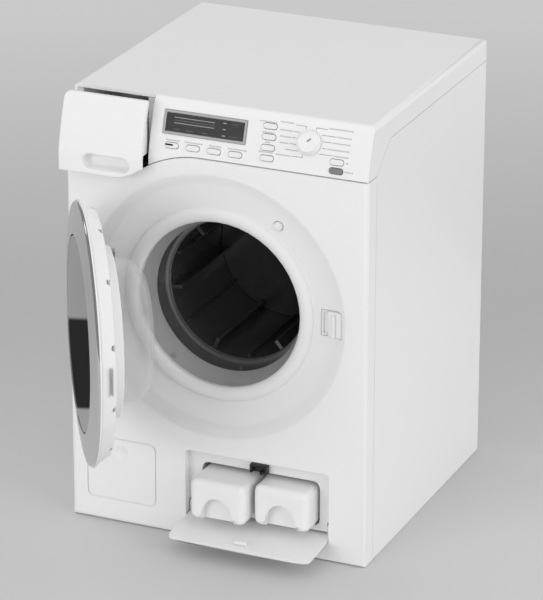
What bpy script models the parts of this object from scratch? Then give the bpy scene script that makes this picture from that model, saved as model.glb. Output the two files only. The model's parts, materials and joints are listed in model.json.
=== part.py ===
"""A toy front-loading washing machine, drawn as its separate mouldings and moving pieces.

Metres, +Z up. The origin is the centre of the flat base, the front faces -Y, and the photographed
pose is the rest pose: door open, drawer and dosing containers drawn out, lower flap down.
"""

import math

import bmesh
import bpy
from mathutils import Matrix, Vector

# Cabinet
WIDTH = 0.185
DEPTH = 0.183
HEIGHT = 0.2635
WALL = 0.0022
BACK_WALL = 0.0035
EDGE = 0.003
FIT = 0.0003
RUN = 0.0006
OVER = 0.004

# Front panel: a tray with side skirts, whose top edge sweeps down under the drawer
FACE_WALL = 0.0024
SKIRT = 0.013
PANEL_DROP = 0.0300
PANEL_TOP = HEIGHT - PANEL_DROP
SILL_DROP = 0.0157
SILL = PANEL_TOP - SILL_DROP
SWEEP_RADIUS = 0.064
SWELL_RADIUS = 0.025
SWEEP_X = -0.009
SEAM = 0.0005

# Door dish and the lip round the drum opening
RECESS_TOP = 0.0546
DISH_WIDTH_SHARE = 0.4324325
DISH_HEIGHT_SHARE = 0.4471772
DISH_RADIUS = min(WIDTH * DISH_WIDTH_SHARE, (PANEL_TOP - RECESS_TOP) * DISH_HEIGHT_SHARE)
DOOR_Z_SHARE = 1.13375
DOOR_Z = RECESS_TOP + DISH_RADIUS * DOOR_Z_SHARE
DISH_DEPTH = 0.0055
DISH_SLOPE = 0.0065
LIP_SHARE = 0.73125
LIP_OUTER = DISH_RADIUS * LIP_SHARE
LIP_HEIGHT = 0.0026
OPENING_SHARE = 0.625
OPENING_RADIUS = DISH_RADIUS * OPENING_SHARE

# Door, measured on its axis from the face of the bright ring
DOOR_SHARE = 0.9375
DOOR_RADIUS = DISH_RADIUS * DOOR_SHARE
DOOR_PROUD = 0.0085
DOOR_ANGLE = math.radians(56.9)
RING_SHARE = 0.23333334
RING_WIDTH = DOOR_RADIUS * RING_SHARE
RING_THICK = 0.0020
GLASS_THICK = 0.0017
FRAME_DEPTH = 0.0105
FRAME_REAR_INSET = 0.0062
FRAME_REAR_RADIUS = DOOR_RADIUS - FRAME_REAR_INSET
COLLAR_SHARE = 0.93
COLLAR_RADIUS = OPENING_RADIUS * COLLAR_SHARE
BOWL_SHARE = 0.88
BOWL_RADIUS = OPENING_RADIUS * BOWL_SHARE
BOWL_END_SHARE = 0.81
BOWL_END_RADIUS = OPENING_RADIUS * BOWL_END_SHARE
BOWL_LENGTH = 0.0235
BOWL_ROUND = 0.009
BOWL_FLANGE_SHARE = 0.11
BOWL_FLANGE = OPENING_RADIUS * BOWL_FLANGE_SHARE
BOWL_WALL = 0.0016
DOOR_SCREWS = 12
DOOR_SCREW_RADIUS = 0.0017
DOOR_SCREW_DEPTH = 0.0029
LATCH_HEIGHT = 0.0160
LATCH_WIDTH = 0.0030

# Door hinge: two arms on one upright pin inside the front panel
HINGE_INSET = 0.0029
HINGE_X = HINGE_INSET - DISH_RADIUS
HINGE_SETBACK = 0.0118
HINGE_Y = HINGE_SETBACK - DEPTH / 2
HINGE_PIN_RADIUS = 0.0015
HINGE_EYE_RADIUS = 0.0032
HINGE_ARM_HEIGHT = 0.0090
HINGE_ARM_WIDTH = 0.0040
HINGE_SPREAD_SHARE = 0.20625
HINGE_SPREAD = DISH_RADIUS * HINGE_SPREAD_SHARE
HINGE_POCKET_ROOM = 0.0032
HINGE_POCKET_HEIGHT = 2 * (HINGE_SPREAD + HINGE_POCKET_ROOM) + HINGE_ARM_HEIGHT
HINGE_POCKET_INSET = 0.0148
HINGE_POCKET_RIGHT = HINGE_POCKET_INSET - DISH_RADIUS
HINGE_POCKET_OUTSET = 0.0038
HINGE_POCKET_LEFT = -DISH_RADIUS - HINGE_POCKET_OUTSET

# Door switch plunger and door catch on the dish floor
SWITCH_ANGLE = math.radians(55.5)
SWITCH_RADIUS = 0.0027
SWITCH_PROUD = 0.0020
SWITCH_STEM = 0.0070
CATCH_HEIGHT = 0.0152
CATCH_INSET = 0.0036
CATCH_WIDTH = 0.0082
CATCH_RIGHT = DISH_RADIUS - CATCH_INSET
CATCH_LEFT = CATCH_RIGHT - CATCH_WIDTH
CATCH_NOSE = 0.0018
CATCH_HOLE = 0.0050
CATCH_CORNER = 0.0012

# Flap recess at the lower right, its flap and the catch above it
BAY_X = 0.0257
RECESS_WIDTH = 0.0898
RECESS_BOTTOM = 0.0111
RECESS_DEPTH = 0.0060
RECESS_CORNER = 0.0022
FLAP_SLOT_HEIGHT = 0.0048
FLAP_THICK = 0.0022
FLAP_OFFSET = 0.0047
FLAP_TAIL = 0.0065
FLAP_SIDE_GAP = 0.0006
FLAP_CORNER = 0.0040
FLAP_OPEN = math.radians(94)
FLAP_EAR = 0.0020
FLAP_EAR_RADIUS = 0.0022
FLAP_PIN_RADIUS = 0.0011
FLAP_PIN_LENGTH = 0.0022
FLAP_NUB_WIDTH = 0.0072
FLAP_NUB_HEIGHT = 0.0020
FLAP_NUB_PROUD = 0.0022
FLAP_NUB_Z = 0.0490
FLAP_CATCH_WIDTH = 0.0108
FLAP_CATCH_HEIGHT = 0.0050
FLAP_CATCH_PLATE = 0.0008
FLAP_CATCH_JAW = 0.0014
FLAP_CATCH_REACH = 0.0032

# Dosing containers and the sleeve that they slide in
BOX_WIDTH = 0.0344
BOX_HEIGHT = 0.0250
BOX_BOTTOM = 0.0190
BOX_GAP = 0.0026
BOX_LENGTH = 0.0500
BOX_ROUND = 0.0040
BOX_WALL = 0.0016
BOX_HOME_SETBACK = 0.0139
LEFT_BOX_OUT = 0.0289
RIGHT_BOX_OUT = 0.0224
SCOOP_WIDTH = 0.0170
SCOOP_HEIGHT = 0.0115
SCOOP_DEPTH = 0.0055
BAY_SIDE_GAP = 0.0012
BAY_HEADROOM = 0.0023
BAY_CORNER = 0.0040
BAY_WALL = 0.0014

# Moulded outline of the pump cover at the lower left
PUMP_INSET = 0.0324
PUMP_X = PUMP_INSET - WIDTH / 2
PUMP_BOTTOM = 0.0141
PUMP_TOP = 0.0538
PUMP_WIDTH = 0.0446
PUMP_CORNER = 0.0040
PUMP_GROOVE = 0.0008
PUMP_GROOVE_DEPTH = 0.0006
PUMP_DIMPLE_RADIUS = 0.0048
PUMP_DIMPLE_DEPTH = 0.0012
PUMP_DIMPLE_DROP = 0.0090

# Top cover with its leaning control face
LEAN_DROP = 0.0330
LEAN_Z = HEIGHT - LEAN_DROP
LEAN_RADIUS = 0.180
LEAN_START = math.radians(11.8)
LEAN_END = math.asin(LEAN_DROP / LEAN_RADIUS + math.sin(LEAN_START))
LEAN_SETBACK = LEAN_RADIUS * (math.cos(LEAN_START) - math.cos(LEAN_END))
COVER_DROP = 0.0136
COVER_RAKE = 0.0195
DRAWER_SHARE = 0.2805406
FASCIA_LEFT = WIDTH * (DRAWER_SHARE - 0.5)

# Drawer at the upper left
DRAWER_OUT = 0.0096
DRAWER_REACH = 0.0022155
DRAWER_BACK = LEAN_SETBACK + DRAWER_REACH
DRAWER_EDGE = 0.0010
DRAWER_TOP_GAP = 0.0008
DRAWER_WALL = 0.0018
GRIP_WIDTH = 0.0300
GRIP_HEIGHT = 0.0098
GRIP_DEPTH = 0.0066
GRIP_DROP = 0.0374
GRIP_SHARE = 0.1605406
GRIP_X = WIDTH * (GRIP_SHARE - 0.5)
GRIP_Z = HEIGHT - GRIP_DROP
TRAY_DROP = 0.0175
TRAY_TOP = HEIGHT - TRAY_DROP
TRAY_LENGTH = 0.0580
TRAY_WALL = 0.0014
HOUSING_POST = 0.0058
HOUSING_WALL = 0.0012
HOUSING_FLANGE = 0.0015
HOUSING_DROP = 0.0415
HOUSING_FLOOR = HEIGHT - HOUSING_DROP
HOUSING_SKIRT = 0.0070
HOUSING_LENGTH = 0.0640

# Display, keys and dial on the control face
DISPLAY_X_SHARE = -0.0432432
DISPLAY_X = WIDTH * DISPLAY_X_SHARE
DISPLAY_DROP = 0.0124
DISPLAY_Z = HEIGHT - DISPLAY_DROP
DISPLAY_SHARE = 0.2724324
DISPLAY_WIDTH = WIDTH * DISPLAY_SHARE
DISPLAY_HEIGHT = 0.0134
DISPLAY_BORDER = 0.0013
DISPLAY_THICK = 0.0012
DISPLAY_PROUD = 0.0003
KEY_WIDTH = 0.0080
KEY_HEIGHT = 0.0031
KEY_PROUD = 0.0007
KEY_FLANGE = 0.0006
KEY_FLANGE_THICK = 0.0008
KEY_STEM = 0.0030
KEY_TRAVEL = 0.0008
ROW_KEY_SHARE = 0.0698919
ROW_KEY_PITCH = WIDTH * ROW_KEY_SHARE
ROW_KEY_LEAD = 0.0188
ROW_KEY_X = DISPLAY_X - ROW_KEY_LEAD
ROW_KEY_DROP = 0.0249
ROW_KEY_Z = HEIGHT - ROW_KEY_DROP
COLUMN_KEY_SHARE = 0.1681081
COLUMN_KEY_X = WIDTH * COLUMN_KEY_SHARE
COLUMN_KEY_DROP = 0.0243
COLUMN_KEY_Z = HEIGHT - COLUMN_KEY_DROP
COLUMN_KEY_PITCH = 0.0057
LOWER_KEY_SHARE = 0.3935135
LOWER_KEY_X = WIDTH * LOWER_KEY_SHARE
POWER_KEY_DROP = 0.0257
POWER_KEY_Z = HEIGHT - POWER_KEY_DROP
LIGHT_KEY_DROP = 0.0210
LIGHT_KEY_Z = HEIGHT - LIGHT_KEY_DROP
DIAL_SHARE = 0.2989189
DIAL_X = WIDTH * DIAL_SHARE
DIAL_DROP = 0.0129
DIAL_Z = HEIGHT - DIAL_DROP
DIAL_RADIUS = 0.0070
DIAL_TOP_RADIUS = 0.0054
DIAL_HEIGHT = 0.0041
DIAL_CHAMFER = 0.0005
DIAL_MARK = 0.0008
DIAL_SHAFT_RADIUS = 0.0025
DIAL_SHAFT_LENGTH = 0.0065
DIAL_COLLAR = 0.0014
BOARD_THICK = 0.0016
BOARD_SETBACK = 0.0098
BOARD_SHARE = 0.6486486
BOARD_WIDTH = WIDTH * BOARD_SHARE
BOARD_HEIGHT = 0.0200
BOARD_X_SHARE = 0.1405405
BOARD_X = WIDTH * BOARD_X_SHARE
BOARD_DROP = 0.0165
BOARD_Z = HEIGHT - BOARD_DROP
POST_RADIUS = 0.0022

# Gasket, drum and the tub round it
GASKET_OUTSET = 0.0014
GASKET_RADIUS = OPENING_RADIUS + GASKET_OUTSET
GASKET_TAPER = 0.0006
GASKET_REAR_RADIUS = GASKET_RADIUS + GASKET_TAPER
GASKET_WALL = 0.0016
GASKET_FLANGE = 0.0060
GASKET_FLANGE_THICK = 0.0016
GASKET_DEPTH = 0.0225
GASKET_NUB = 0.0022
GASKET_NUB_ANGLE = math.radians(222)
DRUM_SHARE = 0.85
DRUM_RADIUS = OPENING_RADIUS * DRUM_SHARE
DRUM_WALL = 0.0018
DRIVE_DEPTH = 0.1094
DRUM_LENGTH = DEPTH - DRIVE_DEPTH
DRUM_GAP = 0.0012
DRUM_FLANGE_OUTSET = 0.0030
DRUM_FLANGE_RADIUS = OPENING_RADIUS + DRUM_FLANGE_OUTSET
DRUM_RIBS = 12
DRUM_RIB_WIDTH = 0.0012
DRUM_RIB_PROUD = 0.0022
DRUM_PADDLE_WIDTH = 0.0022
DRUM_PADDLE_PROUD = 0.0058
DRUM_RIB_PHASE = math.radians(8)
DRUM_BACK_THICK = 0.0020
DRUM_HUB_RADIUS = 0.0080
DRUM_HUB_LENGTH = 0.0036
DRUM_CONE_RADIUS = 0.0110
DRUM_CONE_HEIGHT = 0.0030
SHAFT_RADIUS = 0.0030
SHAFT_LENGTH = 0.0250
TUB_OUTSET = 0.0077
TUB_RADIUS = OPENING_RADIUS + TUB_OUTSET
TUB_WALL = 0.0018
TUB_GAP = 0.0062
BEARING_RADIUS = 0.0080
BEARING_LENGTH = 0.0060
BOSS_WALL = 0.0022

# Drive: a motor pinion on a large gear behind the tub
GEAR_MODULE = 0.00125
GEAR_TEETH = 36
PINION_TEETH = 10
GEAR_THICK = 0.0050
GEAR_GAP = 0.0030
GEAR_WEB = 0.0030
PLATE_THICK = 0.0020
PLATE_SHARE = 1.31716
PLATE_WIDTH = TUB_RADIUS * PLATE_SHARE
PLATE_TOP_SHARE = 0.58925
PLATE_TOP = TUB_RADIUS * PLATE_TOP_SHARE
PLATE_BOTTOM_SHARE = 0.90121
PLATE_BOTTOM = TUB_RADIUS * PLATE_BOTTOM_SHARE
PLATE_POST_RADIUS = 0.0032
MOTOR_RADIUS = 0.0120
MOTOR_LENGTH = 0.0300
MOTOR_FLAT = 0.0100
MOTOR_NECK_RADIUS = 0.0032
MOTOR_SHAFT_RADIUS = 0.0010

# Base, rear cover and battery compartment
BASE_THICK = 0.0022
BASE_RIB = 0.0030
REAR_MARGIN = 0.0145
REAR_BOTTOM = 0.0120
REAR_DROP = 0.0275
REAR_TOP = HEIGHT - REAR_DROP
REAR_LEDGE = 0.0080
REAR_REBATE = 0.0020
SCREW_HEAD_RADIUS = 0.0025
SCREW_HEAD = 0.0008
SCREW_RADIUS = 0.0012
SCREW_LENGTH = 0.0040
CELL_RADIUS = 0.00725
CELL_LENGTH = 0.0500
CELL_PITCH = 0.0152
CELL_CAP_RADIUS = 0.0025
CELL_CAP = 0.0010
CELLS = 4
CELL_BOTTOM = 0.0250
CASE_WALL = 0.0016
COVER_TAB = 0.0100
SPEAKER_RADIUS = 0.0180
SPEAKER_SHARE = 0.2162162
SPEAKER_X = WIDTH * SPEAKER_SHARE
SPEAKER_DROP = 0.0735
SPEAKER_Z = HEIGHT - SPEAKER_DROP
SPEAKER_DEPTH = 0.0070
GRILLE_SLOTS = 5
GRILLE_SLOT = 0.0018
GRILLE_PITCH = 0.0052

# Facets of the round pieces
FINE_STEPS = 48
ROUND_STEPS = 32
SMALL_STEPS = 12
CORNER_STEPS = 3
FEW_STEPS = 2

# Finishes: colour, roughness, metallic
FINISHES = {
    "white": ((0.86, 0.86, 0.85), 0.38, 0.0),
    "inner_white": ((0.74, 0.74, 0.73), 0.50, 0.0),
    "key_white": ((0.82, 0.82, 0.81), 0.35, 0.0),
    "key_grey": ((0.30, 0.30, 0.30), 0.40, 0.0),
    "chrome": ((0.50, 0.50, 0.50), 0.16, 1.0),
    "silver": ((0.58, 0.58, 0.58), 0.35, 0.6),
    "smoked": ((0.10, 0.10, 0.10), 0.06, 0.2),
    "clear": ((0.80, 0.82, 0.83), 0.08, 0.0),
    "display": ((0.08, 0.08, 0.085), 0.15, 0.0),
    "grey_rubber": ((0.24, 0.24, 0.24), 0.55, 0.0),
    "charcoal": ((0.045, 0.045, 0.045), 0.45, 0.0),
    "black": ((0.015, 0.015, 0.015), 0.40, 0.0),
    "steel": ((0.55, 0.55, 0.55), 0.30, 1.0),
    "gear": ((0.70, 0.69, 0.64), 0.45, 0.0),
    "board": ((0.03, 0.16, 0.07), 0.50, 0.0),
    "cell": ((0.10, 0.10, 0.11), 0.35, 0.4),
}

# Places worked out from the sizes above
FRONT = -DEPTH / 2
BACK = DEPTH / 2
SIDE = WIDTH / 2
SKIRT_Y = FRONT + SKIRT
FLOOR_Y = FRONT + DISH_DEPTH
PANEL_BACK_Y = FLOOR_Y + FACE_WALL
DOOR_FACE_Y = FRONT - DOOR_PROUD
FRAME_REAR_Y = DOOR_FACE_Y + FRAME_DEPTH
RECESS_LEFT = BAY_X - RECESS_WIDTH / 2
RECESS_RIGHT = BAY_X + RECESS_WIDTH / 2
RECESS_Y = FRONT + RECESS_DEPTH
RECESS_BACK_Y = RECESS_Y + FACE_WALL
FLAP_Y = FRONT + FLAP_THICK + FLAP_OFFSET
FLAP_Z = BOX_BOTTOM
BAY_HALF = BOX_WIDTH + BOX_GAP / 2 + BAY_SIDE_GAP
BAY_BOTTOM = BOX_BOTTOM - FIT
BAY_TOP = BOX_BOTTOM + BOX_HEIGHT + BAY_HEADROOM
BOX_HOME_Y = FRONT + BOX_HOME_SETBACK
COVER_BOTTOM = HEIGHT - COVER_DROP
HOUSING_Y = FRONT + DRAWER_BACK + FIT
HOUSING_BACK_Y = HOUSING_Y + HOUSING_FLANGE
GASKET_Y = PANEL_BACK_Y + FIT
DRUM_Y = GASKET_Y + GASKET_DEPTH + DRUM_GAP
DRUM_BACK_Y = DRUM_Y + DRUM_LENGTH
TUB_Y = GASKET_Y + GASKET_FLANGE_THICK + FIT
TUB_BACK_Y = DRUM_BACK_Y + TUB_GAP
BEARING_Y = TUB_BACK_Y - FIT
GEAR_Y = BEARING_Y + BEARING_LENGTH + GEAR_GAP
PLATE_Y = GEAR_Y + GEAR_THICK + GEAR_GAP
PINION_Z = DOOR_Z - GEAR_MODULE * (GEAR_TEETH + PINION_TEETH) / 2
REAR_INNER_Y = BACK - BACK_WALL
CELL_Y = REAR_INNER_Y - FIT - CELL_RADIUS - FIT
CASE_TOP = CELL_BOTTOM + CELLS * CELL_PITCH
CASE_HALF = CELL_LENGTH / 2 + CELL_CAP + RUN
PARTS = None


def clear_scene():
    for item in list(bpy.data.objects):
        bpy.data.objects.remove(item)


def finish_mesh(bm, name, turn_out=True):
    """An object from a bmesh, with its faces turned to point out where they may not yet."""
    if turn_out:
        bmesh.ops.recalc_face_normals(bm, faces=bm.faces)
        if bm.calc_volume(signed=True) < 0:
            bmesh.ops.reverse_faces(bm, faces=bm.faces)
    mesh = bpy.data.meshes.new(name)
    bm.to_mesh(mesh)
    bm.free()
    item = bpy.data.objects.new(name, mesh)
    PARTS.objects.link(item)
    return item


def settle(item, weld, turn_out=True):
    """The evaluated shape of an object, as a plain mesh object that replaces it."""
    graph = bpy.context.evaluated_depsgraph_get()
    mesh = bpy.data.meshes.new_from_object(item.evaluated_get(graph))
    bm = bmesh.new()
    bm.from_mesh(mesh)
    bm.transform(item.matrix_world)
    bmesh.ops.remove_doubles(bm, verts=bm.verts, dist=weld)
    name = item.name
    bpy.data.objects.remove(item)
    bpy.data.meshes.remove(mesh)
    return finish_mesh(bm, name, turn_out)


def block(name, x, y, z):
    """A block between three pairs of places, each (low, high)."""
    bm = bmesh.new()
    bmesh.ops.create_cube(bm, size=1)
    low = Vector((x[0], y[0], z[0]))
    high = Vector((x[1], y[1], z[1]))
    bmesh.ops.scale(bm, vec=high - low, verts=bm.verts)
    bmesh.ops.translate(bm, vec=(low + high) / 2, verts=bm.verts)
    return finish_mesh(bm, name)


def round_edges(item, radius, chosen, steps=CORNER_STEPS):
    """Rounds the edges whose two end points the function chosen accepts."""
    bm = bmesh.new()
    bm.from_mesh(item.data)
    edges = [edge for edge in bm.edges if chosen(*(vert.co for vert in edge.verts))]
    bmesh.ops.bevel(bm, geom=edges, offset=radius, segments=steps, profile=0.5, affect="EDGES")
    bm.to_mesh(item.data)
    bm.free()
    return item


def along(axis):
    """Turns a shape drawn in u, v with its length along w, so that w runs along an axis."""
    if axis == "x":
        return Matrix(((0, 0, 1, 0), (1, 0, 0, 0), (0, 1, 0, 0), (0, 0, 0, 1)))
    if axis == "y":
        return Matrix(((1, 0, 0, 0), (0, 0, 1, 0), (0, 1, 0, 0), (0, 0, 0, 1)))
    return Matrix.Identity(4)


def prism(name, outlines, start, end, place):
    """A flat curve drawn in u, v and extruded from start to end along w, then placed by a matrix."""
    curve = bpy.data.curves.new(name, "CURVE")
    curve.dimensions = "2D"
    curve.fill_mode = "BOTH"
    curve.extrude = (end - start) / 2
    for outline in outlines:
        spline = curve.splines.new("POLY")
        spline.points.add(len(outline) - 1)
        for point, (u, v) in zip(spline.points, outline):
            point.co = (u, v, 0, 1)
        spline.use_cyclic_u = True
    item = bpy.data.objects.new(name, curve)
    PARTS.objects.link(item)
    item.matrix_world = place @ Matrix.Translation((0, 0, (start + end) / 2))
    bpy.context.view_layer.update()
    made = settle(item, weld=FIT / 100)
    bpy.data.curves.remove(curve)
    return made


def rod(name, radius, start, end, place, steps=SMALL_STEPS):
    """A round bar from start to end along w, placed by a matrix."""
    bm = bmesh.new()
    bmesh.ops.create_cone(
        bm, cap_ends=True, segments=steps, radius1=radius, radius2=radius, depth=end - start
    )
    bmesh.ops.translate(bm, vec=(0, 0, (start + end) / 2), verts=bm.verts)
    bm.transform(place)
    return finish_mesh(bm, name)


def turned(name, profile, place, steps=FINE_STEPS, closed=True):
    """A profile of (radius, height) pairs turned about w, placed by a matrix."""
    mesh = bpy.data.meshes.new(name)
    count = len(profile)
    links = [(index, (index + 1) % count) for index in range(count if closed else count - 1)]
    mesh.from_pydata([(radius, 0, height) for radius, height in profile], links, [])
    item = bpy.data.objects.new(name, mesh)
    PARTS.objects.link(item)
    screw = item.modifiers.new("turn", "SCREW")
    screw.steps = steps
    screw.render_steps = steps
    screw.use_merge_vertices = True
    screw.merge_threshold = FIT / 100
    item.matrix_world = place
    bpy.context.view_layer.update()
    return settle(item, weld=FIT / 100)


def shape(item, *steps):
    """Joins and cuts an object with others, in order; each step is (operation, object)."""
    name = item.name
    for operation, tool in steps:
        modifier = item.modifiers.new(operation.lower(), "BOOLEAN")
        modifier.operation = operation
        modifier.solver = "EXACT"
        modifier.object = tool
    bpy.context.view_layer.update()
    made = settle(item, weld=FIT / 1000, turn_out=False)
    for _, tool in steps:
        bpy.data.objects.remove(tool)
    made.name = name
    return made


def add(tool):
    return ("UNION", tool)


def cut(tool):
    return ("DIFFERENCE", tool)


def arc(centre, radius, first, last, steps):
    """Points on an arc between two angles in radians."""
    turns = [first + (last - first) * index / steps for index in range(steps + 1)]
    return [(centre[0] + radius * math.cos(a), centre[1] + radius * math.sin(a)) for a in turns]


def rounded(u, v, radius, steps=CORNER_STEPS):
    """The outline of a rectangle with round corners, between (low, high) pairs."""
    quarter = math.pi / 2
    corners = [(u[1], v[1], 0), (u[0], v[1], 1), (u[0], v[0], 2), (u[1], v[0], 3)]
    points = []
    for corner_u, corner_v, index in corners:
        centre_u = corner_u - radius if index in (0, 3) else corner_u + radius
        centre_v = corner_v - radius if index in (0, 1) else corner_v + radius
        first = index * quarter
        points += arc((centre_u, centre_v), radius, first, first + quarter, steps)
    return points


def centred(middle, size):
    return (middle - size / 2, middle + size / 2)


def grown(pair, size):
    return (pair[0] - size, pair[1] + size)


def circle(centre, radius, steps):
    """A round outline with no doubled point."""
    return arc(centre, radius, 0, 2 * math.pi, steps)[:-1]


def paint(item, finish):
    """Gives an object its own Principled material and shades it smooth up to sharp edges."""
    colour, roughness, metallic = FINISHES[finish]
    made = bpy.data.materials.new(item.name + "_finish")
    made.use_nodes = True
    shader = made.node_tree.nodes["Principled BSDF"]
    shader.inputs["Base Color"].default_value = (*colour, 1)
    shader.inputs["Roughness"].default_value = roughness
    shader.inputs["Metallic"].default_value = metallic
    made.diffuse_color = (*colour, 1)
    item.data.materials.clear()
    item.data.materials.append(made)
    item.data.shade_smooth()
    item.data.set_sharp_from_angle(angle=math.radians(35))
    return item


def pivot(name, place, turn=None, shift=None):
    """An empty on a joint's axis, turned or shifted to the photographed pose."""
    empty = bpy.data.objects.new(name, None)
    empty.empty_display_size = WALL
    PARTS.objects.link(empty)
    pose = turn if turn else Matrix.Identity(4)
    moved = Vector(place) + (Vector(shift) if shift else Vector((0, 0, 0)))
    empty.matrix_world = Matrix.Translation(moved) @ pose
    return empty


def hang(item, empty, place):
    """Carries an object, drawn in the closed pose, on the empty at its joint."""
    item.data.transform(Matrix.Translation(-Vector(place)))
    item.parent = empty
    return item


def sweep_edge():
    """The front panel's top edge in (x, z), from the left side to the right."""
    outer = (SWEEP_X, PANEL_TOP - SWEEP_RADIUS)
    rise = SILL + SWELL_RADIUS - outer[1]
    reach = math.sqrt((SWEEP_RADIUS + SWELL_RADIUS) ** 2 - rise**2)
    inner = (outer[0] - reach, SILL + SWELL_RADIUS)
    meet = math.atan2(rise, -reach)
    low = arc(inner, SWELL_RADIUS, -math.pi / 2, meet - math.pi, 8)
    high = arc(outer, SWEEP_RADIUS, meet, math.pi / 2, 12)
    return [(-SIDE, SILL), *low, *high[1:], (SIDE, PANEL_TOP)]


def above_edge(lift):
    """The region above the sweep, raised by lift, as an outline past the cabinet's top."""
    edge = [(x, z + lift) for x, z in sweep_edge()]
    edge[0] = (-SIDE - OVER, edge[0][1])
    edge[-1] = (SIDE + OVER, edge[-1][1])
    return [*edge, (SIDE + OVER, HEIGHT + OVER), (-SIDE - OVER, HEIGHT + OVER)]


def below_edge(lift):
    """The region under the sweep, raised by lift, as an outline past the base."""
    edge = [(x, z + lift) for x, z in sweep_edge()]
    edge[0] = (-SIDE - OVER, edge[0][1])
    edge[-1] = (SIDE + OVER, edge[-1][1])
    return [*edge, (SIDE + OVER, -OVER), (-SIDE - OVER, -OVER)]


def lean_at(z):
    """The control face's y and its lean from the vertical at a height."""
    if z <= LEAN_Z:
        return FRONT, 0.0
    centre_z = LEAN_Z - LEAN_RADIUS * math.sin(LEAN_START)
    angle = math.asin((z - centre_z) / LEAN_RADIUS)
    return FRONT + LEAN_RADIUS * (math.cos(LEAN_START) - math.cos(angle)), angle


def lean_profile(inset, top):
    """The control face's side outline in (y, z), from the sill up, moved in by inset."""
    points = [(FRONT + inset, SILL - OVER), (FRONT + inset, LEAN_Z)]
    steps = 6
    for index in range(1, steps + 1):
        z = LEAN_Z + (HEIGHT - LEAN_Z) * index / steps
        y, angle = lean_at(z)
        points.append((y + inset * math.cos(angle), z - inset * math.sin(angle)))
    last = points[-1]
    before = points[-2]
    share = (top - before[1]) / (last[1] - before[1])
    points[-1] = (before[0] + (last[0] - before[0]) * share, top)
    return points


def on_face(x, z):
    """A frame on the control face: u to the right, v up the face, w straight out of it."""
    y, angle = lean_at(z)
    up = Vector((0, math.sin(angle), math.cos(angle)))
    out = Vector((0, -math.cos(angle), math.sin(angle)))
    frame = Matrix.Identity(4)
    frame.col[0].xyz = Vector((1, 0, 0))
    frame.col[1].xyz = up
    frame.col[2].xyz = out
    frame.col[3].xyz = Vector((x, y, z))
    return frame


def at_drum():
    """A frame on the drum's axis, with w along +Y from the world's origin plane."""
    return Matrix.Translation((0, 0, DOOR_Z)) @ along("y")


def dish_tool():
    """What the door dish, the raised lip and the drum opening take out of the front panel."""
    crest = (LIP_OUTER + OPENING_RADIUS) / 2
    half = (LIP_OUTER - OPENING_RADIUS) / 2
    lip = [
        (crest + half * math.cos(turn), FLOOR_Y - LIP_HEIGHT * math.sin(turn))
        for turn in (math.pi * index / 6 for index in range(7))
    ]
    profile = [
        (0, FRONT - OVER),
        (DISH_RADIUS, FRONT - OVER),
        (DISH_RADIUS, FRONT),
        (DISH_RADIUS - DISH_SLOPE, FLOOR_Y),
        *lip,
        (OPENING_RADIUS, PANEL_BACK_Y + OVER),
        (0, PANEL_BACK_Y + OVER),
    ]
    return turned("dish_tool", profile, at_drum(), closed=False)


def front_panel():
    panel = block("front_panel", (-SIDE, SIDE), (FRONT, SKIRT_Y), (0, HEIGHT))

    def front_or_bottom(a, b):
        ends_z = (a.z < EDGE, b.z < EDGE)
        front = a.y < FRONT + EDGE and b.y < FRONT + EDGE
        return front and (all(ends_z) or a.x == b.x)

    round_edges(panel, EDGE, front_or_bottom)
    hollow = block(
        "hollow",
        (-SIDE + WALL, SIDE - WALL),
        (FRONT + FACE_WALL, SKIRT_Y + OVER),
        (WALL, HEIGHT + OVER),
    )
    top = prism("top", [above_edge(0)], FRONT - OVER, SKIRT_Y + OVER, along("y"))
    backing = rod(
        "backing", DISH_RADIUS + WALL, FRONT + WALL / 2, PANEL_BACK_Y, at_drum(), FINE_STEPS
    )
    frame = block(
        "frame",
        (RECESS_LEFT - WALL, RECESS_RIGHT + WALL),
        (FRONT + WALL / 2, RECESS_BACK_Y),
        (RECESS_BOTTOM - WALL, RECESS_TOP + WALL),
    )
    recess = prism(
        "recess",
        [rounded((RECESS_LEFT, RECESS_RIGHT), (RECESS_BOTTOM, RECESS_TOP), RECESS_CORNER)],
        FRONT - OVER,
        RECESS_Y,
        along("y"),
    )
    opening = prism(
        "opening",
        [rounded(centred(BAY_X, 2 * BAY_HALF), (BAY_BOTTOM, BAY_TOP), BAY_CORNER)],
        RECESS_Y - OVER / 2,
        RECESS_BACK_Y + OVER,
        along("y"),
    )
    slot = block(
        "slot",
        (RECESS_LEFT, RECESS_RIGHT),
        (RECESS_Y - OVER / 2, RECESS_BACK_Y + OVER),
        (RECESS_BOTTOM - WALL - OVER / 2, RECESS_BOTTOM + FLAP_SLOT_HEIGHT),
    )
    swing = block(
        "swing",
        (RECESS_LEFT, RECESS_RIGHT),
        (FRONT + FACE_WALL / 2, RECESS_Y),
        (RECESS_BOTTOM - WALL / 2, RECESS_BOTTOM + FLAP_SLOT_HEIGHT),
    )
    steps = [cut(hollow), cut(top), add(backing), add(frame), *flap_cheeks()]
    steps += [cut(dish_tool()), cut(recess), cut(opening), cut(slot), cut(swing)]
    steps += flap_ear_slots()
    steps += [*pump_outline(), *door_openings()]
    return paint(shape(panel, *steps), "white")


def flap_cheeks():
    """Small blocks beside the recess that hold the flap's two pins."""
    made = []
    reach = FLAP_PIN_LENGTH + WALL / 2
    for name, x in (
        ("left_cheek", (RECESS_LEFT - reach, RECESS_LEFT)),
        ("right_cheek", (RECESS_RIGHT, RECESS_RIGHT + reach)),
    ):
        y = (FRONT + WALL / 2, FLAP_Y + FLAP_EAR_RADIUS + WALL / 2)
        made.append(add(block(name, x, y, centred(FLAP_Z, 2 * FLAP_EAR_RADIUS + WALL))))
    return made


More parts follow.
